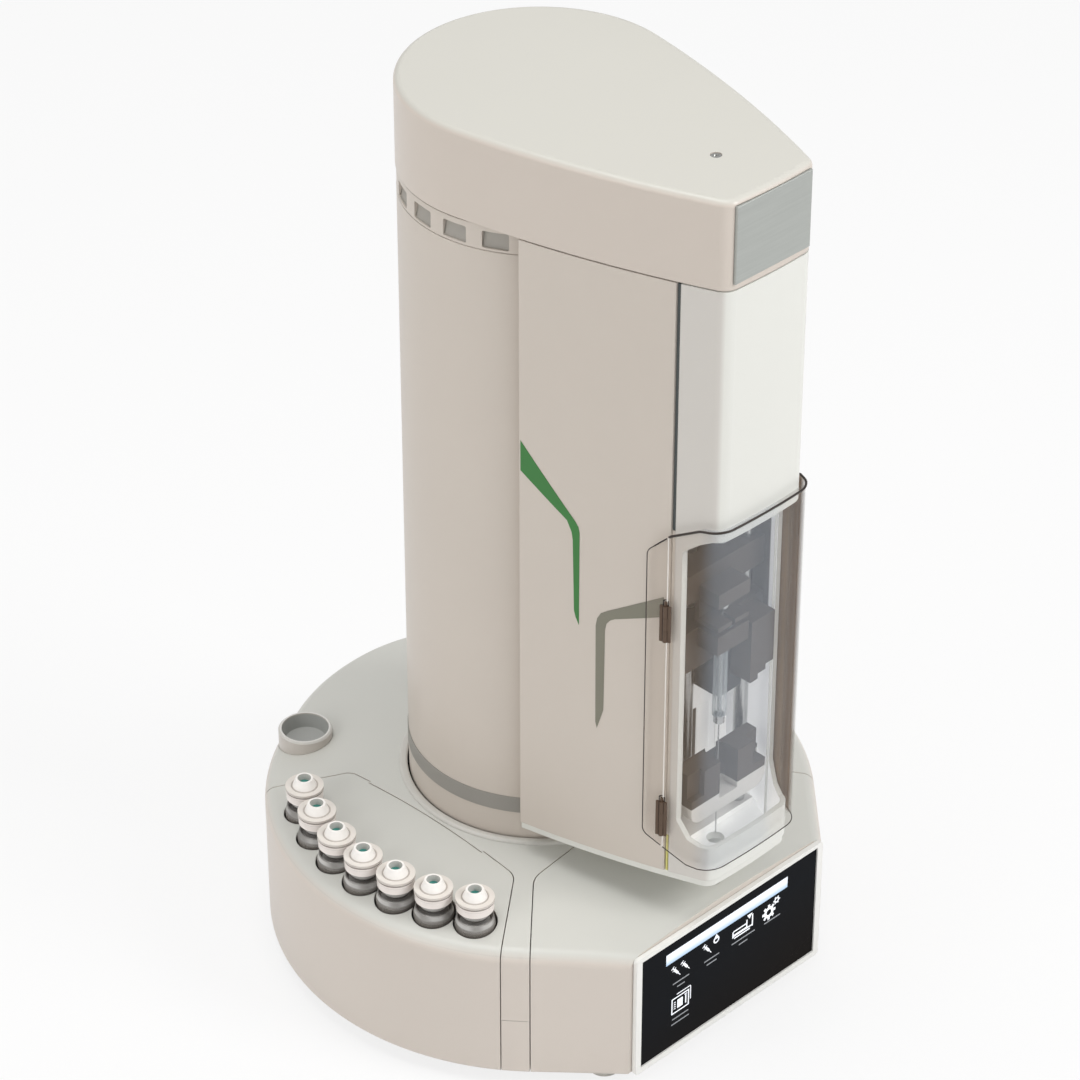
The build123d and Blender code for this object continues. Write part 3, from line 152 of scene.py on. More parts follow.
class Zones:
    """Mixes other colours and values into a material by the place and direction of the surface."""

    def __init__(self, m):
        self.n, self.l, self.p = m.node_tree.nodes, m.node_tree.links, shader_of(m)
        co = self.n.new("ShaderNodeTexCoord")
        self.x, self.y, self.z = self.split(co.outputs["Object"])
        self.nx, self.ny, self.nz = self.split(co.outputs["Normal"])

    def split(self, socket):
        node = self.n.new("ShaderNodeSeparateXYZ")
        self.l.new(socket, node.inputs[0])
        return node.outputs[0], node.outputs[1], node.outputs[2]

    def math(self, how, *values):
        node = self.n.new("ShaderNodeMath")
        node.operation = how
        for socket, value in zip(node.inputs, values):
            if isinstance(value, (int, float)):
                socket.default_value = value
            else:
                self.l.new(value, socket)
        return node.outputs[0]

    def add(self, a, b):
        return self.math("ADD", a, b)

    def less(self, a, b):
        return self.math("SUBTRACT", a, b)

    def both(self, *factors):
        out = factors[0]
        for f in factors[1:]:
            out = self.math("MULTIPLY", out, f)
        return out

    def reach(self, x=0.0, y=0.0):
        """The distance from a vertical axis."""
        dx, dy = self.less(self.x, x), self.less(self.y, y)
        return self.math("SQRT", self.add(self.both(dx, dx), self.both(dy, dy)))

    def ramp(self, value, low, high):
        """0 where the value is at low or before it, 1 at high or past it; high may be the smaller one."""
        node = self.n.new("ShaderNodeMapRange")
        node.inputs["From Min"].default_value = low
        node.inputs["From Max"].default_value = high
        self.l.new(value, node.inputs["Value"])
        return node.outputs["Result"]

    def colour(self, factor, r, g, b):
        mix = self.n.new("ShaderNodeMix")
        mix.data_type = "RGBA"
        old = self.p.inputs["Base Color"]
        self.l.new(old.links[0].from_socket, mix.inputs[6])
        mix.inputs[7].default_value = lin(r, g, b)
        self.l.new(factor, mix.inputs["Factor"])
        self.l.new(mix.outputs[2], old)

    def value(self, name, factor, low=0.0, high=1.0):
        node = self.n.new("ShaderNodeMapRange")
        node.inputs["To Min"].default_value = low
        node.inputs["To Max"].default_value = high
        self.l.new(factor, node.inputs["Value"])
        self.l.new(node.outputs["Result"], self.p.inputs[name])


# Paint of the tower, pale in front
PAINT = dict(scale=9, bump=0.05, bump_scale=700, edge=0.0006)
paint = material("housing_paint_look", lin(206, 197, 187), rough=0.42, vary=0.012, coat=0.12, **PAINT)
front_paint = material("front_paint_look", lin(225, 225, 219), rough=0.38, vary=0.01, coat=0.15, **PAINT)
floor_plate_look = material("floor_plate_look", lin(225, 225, 219), rough=0.4, vary=0.01, coat=0.1, **PAINT)
zone = Zones(front_paint)
# Painted shade: the faces that look left are darker
zone.colour(zone.ramp(zone.nx, -0.6, -0.8), 210, 206, 200)
# Painted light and shade inside the tower: the floor plate's up-facing faces glow a little; at the front right
# the inside faces are dark brown as painted shade, and white with a painted glow at the very front and low down
for look in (paint, front_paint, floor_plate_look):
    shine(look, lin(232, 233, 236))
    zone = Zones(look)
    if look == floor_plate_look:
        painted_inside = zone.ramp(zone.nz, 0.8, 0.95)
    else:
        painted_inside = zone.both(zone.ramp(zone.both(zone.x, zone.nx), -0.012, -0.02),
                          zone.ramp(zone.y, -0.085, -0.095), zone.ramp(zone.x, 0.0, 0.01))
        zone.colour(painted_inside, 92, 78, 66)
        painted_glow_zone = zone.math("MAXIMUM", zone.ramp(zone.y, -0.1372, -0.1384), zone.ramp(zone.z, 0.2365, 0.2345))
        painted_inside = zone.both(painted_inside, painted_glow_zone)
        zone.colour(painted_inside, 232, 231, 229)
    zone.value("Emission Strength", painted_inside, 0.0, 0.42)

# Plastic of the base: grey above, warmer at the sides, a painted tint for warm light from the left and cool light
# from above
PLASTIC = dict(scale=8, bump_scale=1400)
cover = material("cover_plastic_look", lin(206, 206, 200), rough=0.4, vary=0.012, bump=0.06, coat=0.1,
                 edge=0.0006, **PLASTIC)
shell_look = material("shell_plastic_look", lin(206, 206, 200), rough=0.4, vary=0.012, bump=0.06, coat=0.1,
                      edge=0.0006, **PLASTIC)
cap_look = material("cap_plastic_look", lin(203, 201, 193), rough=0.36, vary=0.01, bump=0.05, coat=0.15,
                    edge=0.0008, **PLASTIC)
for look, painted_side_warmth in ((cover, (211, 202, 193)), (shell_look, (211, 202, 193)), (cap_look, (209, 199, 189))):
    zone = Zones(look)
    zone.colour(zone.ramp(zone.nz, 0.85, 0.35), *painted_side_warmth)
# Painted shade: the open lines between the covers, and the wells, darken deep inside
zone = Zones(shell_look)
deep = zone.less(zone.less(COVER_TOP, zone.both(zone.reach(), COVER_FALL)), zone.z)
within = zone.both(zone.ramp(zone.reach(), 0.1562, 0.1555), zone.ramp(zone.y, -0.1468, -0.1464),
                   zone.ramp(zone.nz, 0.6, 0.4))
zone.colour(zone.both(zone.ramp(deep, 0.0004, 0.0030), within), 70, 66, 63)

bead_look = material("bead_plastic_look", lin(205, 203, 197), rough=0.35, vary=0.01, scale=20, bump=0.04,
                     coat=0.1)
band_look = material("band_look", lin(152, 149, 143), rough=0.5, scale=40, bump=0.08)
bezel_look = material("bezel_look", lin(238, 237, 233), rough=0.35, vary=0.01, scale=30, bump=0.03,
                      edge=0.0004)
module_look = material("module_look", lin(42, 42, 44), rough=0.5, vary=0.1, bump=0.2, edge=0.0003)
steel = material("steel_look", lin(196, 196, 194), rough=0.25, metal=1.0, vary=0.06, scale=30,
                 stretch=(60, 60, 2), bump=0.15, bump_scale=60)
turned_steel = material("turned_steel_look", lin(186, 186, 184), rough=0.28, metal=1.0, vary=0.06, scale=20,
                        stretch=(4, 4, 260), bump=0.2, bump_scale=14)
cast = material("cast_aluminium_look", lin(176, 177, 178), metal=0.9, vary=0.06, scale=70, bump=0.25,
                bump_scale=500)
alu = material("collar_aluminium_look", lin(200, 200, 198), rough=0.3, metal=0.95, vary=0.04, scale=30,
               stretch=(3, 3, 200), bump=0.15, bump_scale=20)
brass = material("bearing_look", lin(190, 150, 84), rough=0.35, metal=1.0, vary=0.06)
motor_look = material("motor_look", lin(34, 34, 36), metal=0.2, vary=0.1, scale=40, stretch=(1, 1, 60),
                      bump=0.3, bump_scale=30)
board_look = material("board_look", lin(32, 96, 58), rough=0.4, vary=0.15, scale=160, bump=0.25,
                      bump_scale=300, coat=0.3)
rubber = material("foot_rubber_look", lin(214, 211, 204), rough=0.7, vary=0.04, scale=120, bump=0.35)
pinion_look = material("pinion_look", lin(226, 222, 208), rough=0.5, bump=0.05)
teal = material("septum_teal", lin(64, 140, 130), rough=0.6, vary=0.08, scale=300, bump=0.15,
                bump_scale=1500)
plate_look = material("plate_look", lin(174, 177, 173), rough=0.35, metal=0.55, vary=0.04, scale=24,
                      stretch=(1, 1, 30), bump=0.12, bump_scale=30)
hinge_look = material("hinge_look", lin(92, 74, 60), rough=0.42, metal=0.3, vary=0.08, scale=200, bump=0.2)
green = material("stripe_green", lin(56, 122, 58), vary=0.02, bump=0.03)
grey_green = material("stripe_grey", lin(128, 126, 112), rough=0.5, vary=0.02, bump=0.03)
yellow = material("seal_yellow", lin(214, 208, 128), rough=0.5, vary=0.04, scale=200, bump=0.05)
seal = material("seam_seal_look", lin(74, 79, 79), rough=0.6, vary=0.05, scale=200, bump=0.1)
edge_line = material("door_edge_look", lin(52, 44, 40), rough=0.4, vary=0.05, scale=200)
split_highlight = material("door_split_highlight_look", lin(236, 233, 228), rough=0.35, vary=0.02, scale=200)
louvre = material("louvre_look", lin(168, 164, 157), rough=0.5, vary=0.04, scale=80, bump=0.05)
# The white liner glows a little: painted light in the dim inside
liner = material("liner_look", lin(232, 231, 228), vary=0.02, bump=0.05, edge=0.0003)
shine(liner, lin(232, 232, 232), 0.4)

# The panel's glass is a little warmer low down: a painted reflection of the warm base
glass_black = material("panel_black", lin(16, 18, 22), rough=0.14, vary=0.1, scale=5, rough_vary=0.3)
shader_of(glass_black).inputs["Specular IOR Level"].default_value = 0.03
zone = Zones(glass_black)
zone.colour(zone.ramp(zone.less(zone.z, zone.both(zone.x, 0.25)), 0.055, 0.0), 17, 12, 9)
ui_white = material("display_white", lin(236, 238, 242), rough=0.3, vary=0.01)
shine(ui_white, lin(236, 240, 246), 0.35)
ui_grey = material("display_grey", lin(158, 161, 166), rough=0.3, vary=0.01)
bar = material("display_bar", lin(240, 244, 250), rough=0.3, vary=0.01, scale=10)
shine(bar, lin(226, 236, 248), 0.25)
zone = Zones(bar)
zone.colour(zone.ramp(zone.z, 0.0775, 0.0735), 150, 184, 216)

# The vials' caps, with painted shade and a painted highlight: each zone has limits in height, and in how far the
# surface looks up
cap_white = material("vial_cap_look", lin(240, 232, 227), rough=0.38, vary=0.015, scale=120, bump=0.05,
                     bump_scale=1600, coat=0.2, edge=0.00025)
zone = Zones(cap_white)
FLAT, STEEP = (0.75, 0.9), (0.3, 0.22)
for heights, facing, colour in (
        ([(0.1131, 0.1132)], None, (208, 201, 194)),  # flange, painted shade
        ([(0.1138, 0.1140)], FLAT, (226, 220, 213)),  # its top, painted shade lighter than the flange's
        ([(0.11435, 0.1142), (0.1139, 0.1140)], FLAT, (182, 176, 170)),  # foot of the funnel, painted shade
        ([(0.1146, 0.1147)], None, (248, 245, 241)),  # funnel, painted highlight
        ([(0.1146, 0.1147)], STEEP, (200, 198, 194)),  # its mouth, painted shade
        ([(0.11215, 0.11225), (0.1131, 0.1130)], None, (142, 134, 128)),  # groove under the flange, painted shade
        ([(0.11085, 0.1109), (0.1111, 0.11105)], None, (186, 178, 172))):  # line round the skirt, painted shade
    factors = [zone.ramp(zone.z, *limits) for limits in heights]
    if facing:
        factors.append(zone.ramp(zone.nz, *facing))
    zone.colour(zone.both(*factors), *colour)

# Parts of the drive are dark; the needle's guide is pale low down
DRIVE = dict(vary=0.08, scale=50, bump=0.2, edge=0.0004)
dark = material("drive_plastic_look", lin(70, 58, 48), **DRIVE)
guide_look = material("guide_look", lin(70, 58, 48), **DRIVE)
zone = Zones(guide_look)
zone.colour(zone.ramp(zone.z, 0.1668, 0.1662), 228, 225, 220)

# The frame in the tower: dark brown high up, a painted shade, white low down where the needle works, and there
# its front faces glow, a painted light
frame_look = material("frame_look", lin(98, 80, 64), rough=0.5, metal=0.1, vary=0.06, bump=0.2,
                      bump_scale=600, edge=0.0004)
shine(frame_look, lin(232, 232, 232))
zone = Zones(frame_look)
low = zone.ramp(zone.z, FRAME_FOOT + 0.0005, FRAME_FOOT - 0.0005)
zone.value("Emission Strength", zone.both(low, zone.ramp(zone.ny, -0.6, -0.8)), 0.0, 0.4)
zone.colour(low, 232, 230, 226)

# The smoked door: almost clear at its left side, a cool veil in front that fades out, which is a painted
# reflection, brown at its right
smoked = material("smoked_look", lin(190, 174, 158), rough=0.06, vary=0.01, rough_vary=0, ior=1.49)
zone = Zones(smoked)
front = zone.both(zone.ramp(zone.x, -0.0368, -0.0345), zone.ramp(zone.y, -0.150, -0.156))
painted_front_reflection = zone.both(front, zone.ramp(zone.x, 0.016, 0.006))
right = zone.ramp(zone.x, 0.0345, 0.0375)
zone.colour(front, 176, 170, 164)
zone.colour(painted_front_reflection, 186, 192, 200)
zone.colour(right, 146, 120, 96)
veil = zone.add(zone.both(painted_front_reflection, 0.07), zone.both(right, 0.88))
path = zone.n.new("ShaderNodeLightPath")
lit = zone.less(1.0, zone.both(path.outputs["Is Shadow Ray"], 0.8))
zone.value("Alpha", zone.both(zone.add(veil, 0.1), lit))

# Clear glass of the vials: light and dark bands round the shoulder, painted reflections with a streaked painted
# highlight, dark towards the outline
vial_look = glassy("vial_glass_look", lin(196, 193, 189), lin(60, 56, 53), 0.46, 0.97, blend=0.42)
zone = Zones(vial_look)
body = zone.both(zone.ramp(zone.z, 0.0985, 0.0978), zone.ramp(zone.nz, 0.4, 0.2))
wave = zone.math("SINE", zone.both(zone.less(zone.x, zone.both(zone.y, 0.6)), 420.0))
shoulder = zone.both(zone.ramp(zone.z, 0.0986, 0.0990), zone.ramp(zone.z, 0.1014, 0.1008))
line = zone.both(zone.ramp(zone.z, 0.1014, 0.1018), zone.ramp(zone.z, 0.1033, 0.1028))
neck = zone.both(zone.ramp(zone.z, 0.1034, 0.1038), zone.ramp(zone.z, 0.1066, 0.1060))
zone.colour(body, 136, 130, 124)
zone.colour(zone.both(shoulder, zone.ramp(wave, -0.9, 0.5)), 232, 230, 227)
zone.colour(line, 66, 61, 57)
zone.colour(neck, 206, 203, 199)
# What stands in the well is clearer, which shows when a vial is lifted
sunk = zone.ramp(zone.z, 0.0935, 0.0915)
zone.colour(sunk, 196, 198, 197)
alpha_so_far = zone.p.inputs["Alpha"].links[0].from_socket
zone.value("Alpha", zone.both(alpha_so_far, zone.less(1.0, zone.both(sunk, 0.6))))
barrel_look = glassy("barrel_glass_look", lin(220, 228, 230), lin(140, 150, 156), 0.2, 0.85)

# The cup: side warmer and rim lighter as painted light, inner wall and floor darker as painted shade
cup_look = material("cup_plastic_look", lin(206, 205, 200), rough=0.35, vary=0.01, scale=20, bump=0.04,
                    coat=0.1, edge=0.0004)
zone = Zones(cup_look)
reach = zone.reach(CUP_X, CUP_Y)
zone.colour(zone.ramp(zone.nz, 0.8, 0.5), 200, 194, 187)
zone.colour(zone.both(zone.ramp(zone.nz, 0.8, 0.95), zone.ramp(zone.z, 0.1045, 0.1048)), 222, 221, 217)
zone.colour(zone.both(zone.ramp(reach, 0.0140, 0.0136), zone.ramp(zone.z, 0.1048, 0.1040)), 166, 168, 165)
zone.colour(zone.both(zone.ramp(reach, 0.0125, 0.0118), zone.ramp(zone.z, 0.1005, 0.0990)), 172, 173, 170)

looks = {
    "base_pan": cover, "base_cover": shell_look, "display_housing": shell_look, "sample_tray": shell_look,
    "cup_holder": cup_look, "column_ring": bead_look, "column_shell": paint, "column_band": band_look,
    "left_panel": paint, "right_panel": paint, "front_cover": front_paint, "tower_cap": cap_look,
    "floor_plate": floor_plate_look, "badge_plate": plate_look, "cap_screw": steel,
    "display_bezel": bezel_look, "touch_glass": glass_black, "display_module": module_look,
    "waste_port": bead_look, "injector_collar": alu, "swivel_pedestal": cast, "swivel_bearing": brass,
    "swivel_motor": motor_look, "control_board": board_look, "power_inlet": module_look,
    "power_switch": module_look, "data_ports": steel, "feet": rubber, "swivel_pinion": pinion_look,
    "swivel_hub": cast, "chassis": frame_look, "guide_shafts": steel, "lift_motor": motor_look,
    "needle_guide": guide_look, "door_strip": smoked, "smoked_door": smoked, "strip_hinges": hinge_look,
    "door_hinges": hinge_look, "lead_screw": turned_steel, "plunger_screw": turned_steel,
    "syringe_carriage": dark, "plunger_carriage": dark, "plunger_motor": motor_look,
    "syringe_barrel": barrel_look, "syringe_needle": steel, "syringe_plunger": steel,
}
for i in range(1, VIALS + 1):
    looks[f"vial_glass_{i}"] = vial_look
    looks[f"vial_cap_{i}"] = cap_white
for name, obj in nodes.items():
    obj.data.materials.clear()
    obj.data.materials.append(looks[name])


# Helpers that build pieces


def add_mesh(name, mesh, look, body, smooth=False):
    """Makes a mesh one of the pieces, with its look, moving with a body."""
    for f in mesh.polygons:
        f.use_smooth = smooth
    obj = bpy.data.objects.new(name, mesh)
    bpy.context.collection.objects.link(obj)
    mesh.materials.append(look)
    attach(obj, body)


def from_bm(name, bm, look, body, smooth=False):
    mesh = bpy.data.meshes.new(name)
    bm.to_mesh(mesh)
    bm.free()
    add_mesh(name, mesh, look, body, smooth)


def lathe(name, points, centre, look, body, steps=32):
    """A turned skin about a vertical axis; points are radius and height, and it closes at radius 0."""
    bm = bmesh.new()
    rings = []
    for r, z in points:
        turns = [2 * math.pi * k / steps for k in range(steps)] if r else [0.0]
        rings.append([bm.verts.new((centre[0] + r * math.cos(t), centre[1] + r * math.sin(t), z)) for t in turns])
    for a, b in zip(rings, rings[1:]):
        for k in range(steps):
            j = (k + 1) % steps
            quad = [a[k % len(a)], a[j % len(a)], b[j % len(b)], b[k % len(b)]]
            quad = [v for i, v in enumerate(quad) if v not in quad[:i]]
            if len(quad) > 2:
                bm.faces.new(quad)
    from_bm(name, bm, look, body, True)


def slabs(name, boxes, look, body, bevel=0.0002):
    """Several small boxes in one piece, with bevelled edges."""
    bm = bmesh.new()
    for lo, hi in boxes:
        for v in bmesh.ops.create_cube(bm, size=1)["verts"]:
            v.co = Vector([lo[i] + (v.co[i] + 0.5) * (hi[i] - lo[i]) for i in range(3)])
    bmesh.ops.bevel(bm, geom=bm.edges[:], offset=bevel, segments=2, affect="EDGES", clamp_overlap=True)
    from_bm(name, bm, look, body)


def side_x(y, out=0.0):
    """The tower's left side, or a skin a little outside it, at a place along the tower."""
    cx = (REAR_R - SIDE_R) * math.cos(SIDE_START)
    cy = (SIDE_R - REAR_R) * math.sin(SIDE_START)
    return -(cx + math.sqrt((SIDE_R + out) ** 2 - (y - cy) ** 2))


def side_stripe(name, outline, look, cuts, lift=0.00012):
    """A film on the left side: an outline in y and z, in millimetres, cut into strips and laid on the arc."""
    bm = bmesh.new()
    bm.faces.new([bm.verts.new((y / 1000, 0, z / 1000)) for y, z in outline])
    lo, hi = min(y for y, z in outline) / 1000, max(y for y, z in outline) / 1000
    for k in range(1, cuts):
        bmesh.ops.bisect_plane(bm, geom=bm.verts[:] + bm.edges[:] + bm.faces[:],
                               plane_co=(lo + (hi - lo) * k / cuts, 0, 0), plane_no=(1, 0, 0))
    bmesh.ops.triangulate(bm, faces=bm.faces[:])
    for v in bm.verts:
        v.co = Vector((side_x(v.co.x, lift), v.co.x, v.co.z))
    from_bm(name, bm, look, "tower")


def edge_tubes(name, node, keep, look, body, radius, sides=5):
    """Thin lines along the sharp edges of a shell's outer skin, where a test keeps them."""
    source = bmesh.new()
    source.from_mesh(nodes[node].data)
    bmesh.ops.remove_doubles(source, verts=source.verts[:], dist=1e-6)
    bm = bmesh.new()
    turns = [2 * math.pi * k / sides for k in range(sides)]
    for e in source.edges:
        if len(e.link_faces) != 2 or e.calc_face_angle(0) < math.radians(35):
            continue
        a, b = e.verts[0].co, e.verts[1].co
        out = Vector(((a.x + b.x) / 2, (a.y + b.y) / 2 + 0.1, 0)).normalized()
        if max(f.normal.dot(out) for f in e.link_faces) < 0.45 or not keep((a + b) / 2):
            continue
        along = (b - a).normalized()
        u = along.orthogonal().normalized()
        v = along.cross(u)
        ends = [[bm.verts.new(p + radius * (math.cos(t) * u + math.sin(t) * v)) for t in turns] for p in (a, b)]
        for k in range(sides):
            j = (k + 1) % sides
            bm.faces.new([ends[0][k], ends[0][j], ends[1][j], ends[1][k]])
    source.free()
    from_bm(name, bm, look, body, True)


# Stripes on the left panel
side_stripe("green_stripe", [
    (-52.4, 378.2), (-84.6, 338.8), (-86.3, 336.0), (-87.0, 332.6), (-86.9, 273.8), (-84.9, 278.6),
    (-84.0, 282.4), (-83.1, 326.8), (-82.4, 331.6), (-79.7, 338.1), (-52.4, 359.6)], green, 10)
side_stripe("grey_stripe", [
    (-133.5, 307.6), (-133.7, 294.9), (-107.0, 284.6), (-104.6, 283.0), (-102.6, 280.2), (-101.8, 276.0),
    (-101.3, 223.3), (-97.7, 210.1), (-96.8, 214.0), (-96.5, 277.0), (-97.3, 282.0), (-99.4, 286.0),
    (-103.0, 288.6)], grey_green, 12)

# Seals and filler in the seams beside the front cover
seam_x = side_x(SEAM_Y)
slabs("seam_seal_low", [
    ((seam_x + 0.0003, -0.1383, 0.1277), (seam_x + 0.0014, -0.1369, DOOR_FOOT))], yellow, "tower")
slabs("seam_seal_high", [
    ((seam_x + 0.0007, SEAM_FRONT, DOOR_HEAD), (seam_x + 0.0016, SEAM_REAR, SEAM_TOP)),
    ((-seam_x - 0.0016, SEAM_FRONT, 0.128), (-seam_x - 0.0007, SEAM_REAR, SEAM_TOP))], seal, "tower")
slabs("seam_filler", [
    ((seam_x + 0.0006, SEAM_FRONT, DOOR_FOOT), (seam_x + 0.0016, SEAM_REAR, DOOR_HEAD))], paint, "tower")

# Dark lines round the door and its strip; the thicker ones on top are a painted shadow of the door's top edge,
# and the light one where the two meet is a painted highlight
TOP_Z, CLEAR = 0.34, 0.0008


def on_door(p):
    return p.x > 0 or p.y < SEAM_Y - CLEAR


def on_strip(p):
    return p.y > SEAM_Y + CLEAR


edge_tubes("door_edge", "smoked_door", lambda p: p.z < TOP_Z and on_door(p), edge_line, "door", 0.0003)
edge_tubes("door_top_edge", "smoked_door", lambda p: p.z > TOP_Z and on_door(p), edge_line, "door", 0.0007)
edge_tubes("strip_edge", "door_strip", lambda p: on_strip(p) and p.z < TOP_Z, edge_line, "tower", 0.0003)
edge_tubes("strip_top_edge", "door_strip", lambda p: on_strip(p) and p.z > TOP_Z, edge_line, "tower", 0.00045)
edge_tubes("door_split", "smoked_door", lambda p: p.x < 0 and p.y > SEAM_Y - CLEAR, split_highlight, "door", 0.0003)

# White guard behind the needle, below the frame's back wall, with dark gaps and two ribs
GUARD_FRONT, GUARD_REAR, GUARD_LOW, GUARD_HIGH = -0.1041, -0.1029, 0.1282, 0.1897
white, black_gap, grey_rib = [], [], []
for side in (-1, 1):
    for near, far, out, group in (
            (0.0105, 0.0146, 0.0, white), (0.0146, 0.0178, -0.0006, black_gap), (0.0178, 0.0280, 0.0, white),
            (0.0280, 0.0405, -0.0004, white), (0.0, 0.0065, -0.0006, black_gap),
            (0.0065, 0.0105, 0.0006, grey_rib)):
        lo, hi = sorted((side * near, side * far))
        group.append(((lo, GUARD_FRONT - out, GUARD_LOW), (hi, GUARD_REAR - out / 2, GUARD_HIGH)))
slabs("drip_guard", white, liner, "tower", 0.0003)
slabs("drip_guard_gaps", black_gap, dark, "tower")
slabs("drip_guard_ribs", grey_rib, louvre, "tower", 0.0003)

# Sloping louvres inside the vents
shell_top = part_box("column_shell")[1][2]
low, high = shell_top - 0.0128, shell_top - 0.0032
profile = [(0.0737, low), (0.0731, low), (0.0712, high), (0.0708, high), (0.0708, high - 0.0004),
           (0.0729, low + 0.0001)]
bm = bmesh.new()
for i in range(VENTS):
    turn = math.radians(VENT_FIRST + VENT_PITCH * i)
    c, s = math.cos(turn), math.sin(turn)
    left, right = [[bm.verts.new((c * x - s * y, s * x + c * y, z)) for y, z in profile]
                   for x in (-0.0071, 0.0071)]
    for k in range(len(profile)):
        j = (k + 1) % len(profile)
        bm.faces.new([left[k], left[j], right[j], right[k]])
    bm.faces.new(left[::-1])
    bm.faces.new(right)
from_bm("vent_louvres", bm, louvre, "tower")

# Display: bar, pictograms and short lines, without words; x and z in millimetres
face_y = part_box("touch_glass")[0][1] - 0.00006


def film(name, parts, look):
    """Flat pictures on the glass: each part is a list of x and z."""
    verts, faces = [], []
    for part in parts:
        faces.append(list(range(len(verts), len(verts) + len(part))))
        verts += [(x / 1000, face_y, z / 1000) for x, z in part]
    mesh = bpy.data.meshes.new(name)
    mesh.from_pydata(verts, [], faces)
    mesh.update()
    add_mesh(name, mesh, look, "base")


def rect(x, z, w, h, turn=0.0):
    c, s = math.cos(turn), math.sin(turn)
    corners = ((-w / 2, -h / 2), (w / 2, -h / 2), (w / 2, h / 2), (-w / 2, h / 2))
    return [(x + c * a - s * b, z + s * a + c * b) for a, b in corners]


def ring(x, z, r0, r1, steps=20):
    def at(r, k):
        a = 2 * math.pi * k / steps
        return x + r * math.cos(a), z + r * math.sin(a)
    return [[at(r0, k), at(r1, k), at(r1, k + 1), at(r0, k + 1)] for k in range(steps)]


def cog(x, z, r0, r1, teeth, tooth_r, tooth):
    parts = ring(x, z, r0, r1)
    for k in range(teeth):
        a = 2 * math.pi * k / teeth
        parts.append(rect(x + tooth_r * math.cos(a), z + tooth_r * math.sin(a), tooth, tooth, a))
    return parts


def syringe(x, z, size=5.4, turn=math.radians(38)):
    c, s = math.cos(turn), math.sin(turn)
    # place along the syringe, width and height of barrel, rod, knob, needle and flange
    shapes = ((0, 0.3, 0.84), (0.62, 0.12, 0.36), (0.84, 0.5, 0.13), (-0.7, 0.1, 0.56), (0.47, 0.6, 0.1))
    return [rect(x - size * s * b, z + size * c * b, size * w, size * h, turn) for b, w, h in shapes]


film("display_bar_top", [rect(-2.2, 77.1, 98, 7.6)], bar)
icons = syringe(-43.0, 65.2) + syringe(-35.6, 65.2)
icons += syringe(-18.2, 66.4) + ring(-11.0, 69.0, 1.4, 2.4) + [[(-13.2, 69.6), (-8.8, 69.6), (-11.0, 73.2)]]
icons += [rect(8.4, 63.2, 12, 1.6), rect(8.4, 66.2, 11, 1.0), rect(10.0, 61.2, 13, 1.0),
          rect(2.6, 64.0, 1.0, 4.4), rect(13.8, 66.0, 1.0, 5.4), rect(18.4, 66.2, 1.0, 8.6),
          rect(16.0, 62.8, 5.4, 1.0), [(13.8, 71.6), (16.0, 68.2), (18.2, 71.6)]]
icons += cog(32.0, 63.6, 1.9, 3.9, 8, 4.5, 1.8) + cog(38.2, 68.9, 1.0, 2.0, 6, 2.3, 0.9)
icons += [rect(-39.2, 35.6, 14, 0.9), rect(-39.2, 46.0, 14, 0.9), rect(-45.8, 40.8, 0.9, 10.6),
          rect(-32.6, 40.8, 0.9, 10.6), rect(-36.6, 48.2, 11, 0.7), rect(-31.0, 43.2, 0.7, 9.4),
          rect(-39.4, 40.8, 4.4, 6.0), rect(-34.8, 40.8, 1.0, 6.0), rect(-34.8, 44.4, 2.2, 0.7)]
icons += [rect(-43.6, 38.6 + 1.5 * k, 1.6, 0.6) for k in range(4)]
film("display_icons", icons, ui_white)
film("display_lines", [rect(x, z, w, 0.8) for x, z, w in (
    (-39, 57.0, 13), (-39, 53.6, 6), (-14.4, 58.0, 12), (-14.4, 54.8, 8), (11.2, 57.6, 19), (11.2, 54.2, 7),
    (35, 57.0, 13), (-39, 31.4, 13), (-39, 27.8, 14))], ui_grey)

# A septum under the funnel of each cap, and a sample in each vial
for i in range(VIALS):
    a = math.radians(VIAL_FIRST + i * VIAL_PITCH)
    centre = VIAL_R * math.sin(a), -VIAL_R * math.cos(a)
    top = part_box(f"vial_cap_{i + 1}")[1][2] - 0.004
    lathe(f"septum_{i + 1}", [
        (0, top + 0.0003), (0.0009, top + 0.00032), (0.0013, top + 0.0005), (0.0030, top + 0.00045),
        (0.0032, top + 0.0001)], centre, teal, f"vial_{i + 1}")
    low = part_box(f"vial_glass_{i + 1}")[0][2] + 0.004
    lathe(f"sample_{i + 1}", [
        (0, low), (0.0099, low), (0.0100, low + 0.001), (0.0100, low + 0.0165), (0.0096, low + 0.0168),
        (0, low + 0.0166)], centre, vial_look, f"vial_{i + 1}")


# Stage


def seen_by(tree, *rays):
    """1 for a ray of one of these kinds, else 0."""
    path = tree.nodes.new("ShaderNodeLightPath")
    out = path.outputs[rays[0]]
    for ray in rays[1:]:
        node = tree.nodes.new("ShaderNodeMath")
        node.operation = "MAXIMUM"
        tree.links.new(out, node.inputs[0])
        tree.links.new(path.outputs[ray], node.inputs[1])
        out = node.outputs[0]
    return out


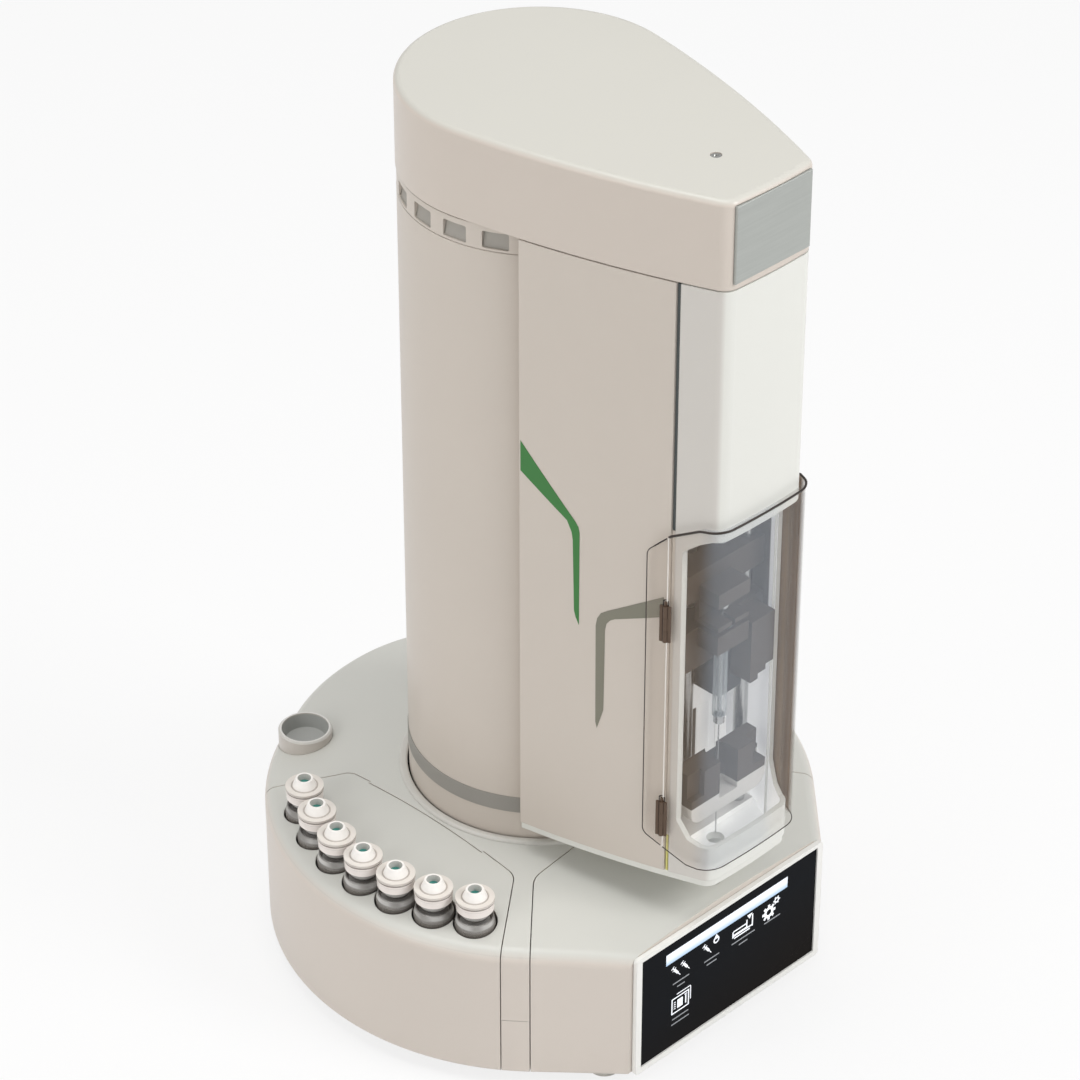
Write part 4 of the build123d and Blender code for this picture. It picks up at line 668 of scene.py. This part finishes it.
# A floor that keeps the shadow and looks almost white
floor_look = bpy.data.materials.new("floor_look")
floor_look.use_nodes = True
n, l = floor_look.node_tree.nodes, floor_look.node_tree.links
n.clear()
diffuse = n.new("ShaderNodeBsdfDiffuse")
diffuse.inputs["Color"].default_value = (0.82, 0.82, 0.82, 1)
glow = n.new("ShaderNodeEmission")
glow.inputs["Color"].default_value = (1, 1, 1, 1)
share = n.new("ShaderNodeMath")
share.operation = "MULTIPLY"
share.inputs[1].default_value = 0.8
l.new(seen_by(floor_look.node_tree, "Is Camera Ray", "Is Glossy Ray", "Is Transmission Ray"), share.inputs[0])
mix = n.new("ShaderNodeMixShader")
l.new(share.outputs[0], mix.inputs["Fac"])
l.new(diffuse.outputs[0], mix.inputs[1])
l.new(glow.outputs[0], mix.inputs[2])
l.new(mix.outputs[0], n.new("ShaderNodeOutputMaterial").inputs["Surface"])
mesh = bpy.data.meshes.new("floor")
mesh.from_pydata([(-6, -6, 0), (6, -6, 0), (6, 6, 0), (-6, 6, 0)], [], [(0, 1, 2, 3)])
floor = bpy.data.objects.new("floor", mesh)
bpy.context.collection.objects.link(floor)
mesh.materials.append(floor_look)

# A white world that lights the object with about half of what it shows
world = bpy.data.worlds.new("world")
bpy.context.scene.world = world
world.use_nodes = True
n, l = world.node_tree.nodes, world.node_tree.links
strength = n.new("ShaderNodeMapRange")
strength.inputs["To Min"].default_value = 0.52
strength.inputs["To Max"].default_value = 1.0
l.new(seen_by(world.node_tree, "Is Camera Ray", "Is Transmission Ray"), strength.inputs["Value"])
l.new(strength.outputs["Result"], n["Background"].inputs["Strength"])
n["Background"].inputs["Color"].default_value = (1, 1, 1, 1)


def lamp(name, place, aim, size, power, colour=(1, 1, 1)):
    data = bpy.data.lights.new(name, "AREA")
    data.size = size
    data.energy = power
    data.color = colour
    obj = bpy.data.objects.new(name, data)
    obj.location = place
    obj.rotation_euler = (Vector(aim) - Vector(place)).to_track_quat("-Z", "Y").to_euler()
    bpy.context.collection.objects.link(obj)


lamp("key", (0.8, -2.1, 1.9), (0, 0, 0.3), 1.1, 36)
lamp("top", (-0.3, 0.2, 2.7), (0, 0, 0.2), 1.2, 22)
lamp("left", (-2.4, 0.2, 1.2), (0, 0, 0.25), 1.2, 13, (1, 0.97, 0.93))

# Camera, fitted to the picture: focal length in its pixels, distance and aim in metres
PICTURE, FOCAL, DISTANCE, SENSOR = 1080, 4111.88, 2.260584, 36
AIM_RIGHT, AIM_HEIGHT = 0.000056, 0.25855
az, el = math.radians(-44.7402), math.radians(34.3023)
data = bpy.data.cameras.new("camera")
data.sensor_width = SENSOR
data.sensor_fit = "HORIZONTAL"
data.lens = SENSOR * FOCAL / PICTURE
data.clip_end = 50
camera = bpy.data.objects.new("camera", data)
bpy.context.collection.objects.link(camera)
target = Vector((AIM_RIGHT * math.cos(az), AIM_RIGHT * math.sin(az), AIM_HEIGHT))
back = Vector((math.sin(az) * math.cos(el), -math.cos(az) * math.cos(el), math.sin(el)))
camera.location = target + DISTANCE * back
camera.rotation_euler = back.to_track_quat("Z", "Y").to_euler()
bpy.context.scene.camera = camera
bpy.context.scene.view_settings.view_transform = "Standard"
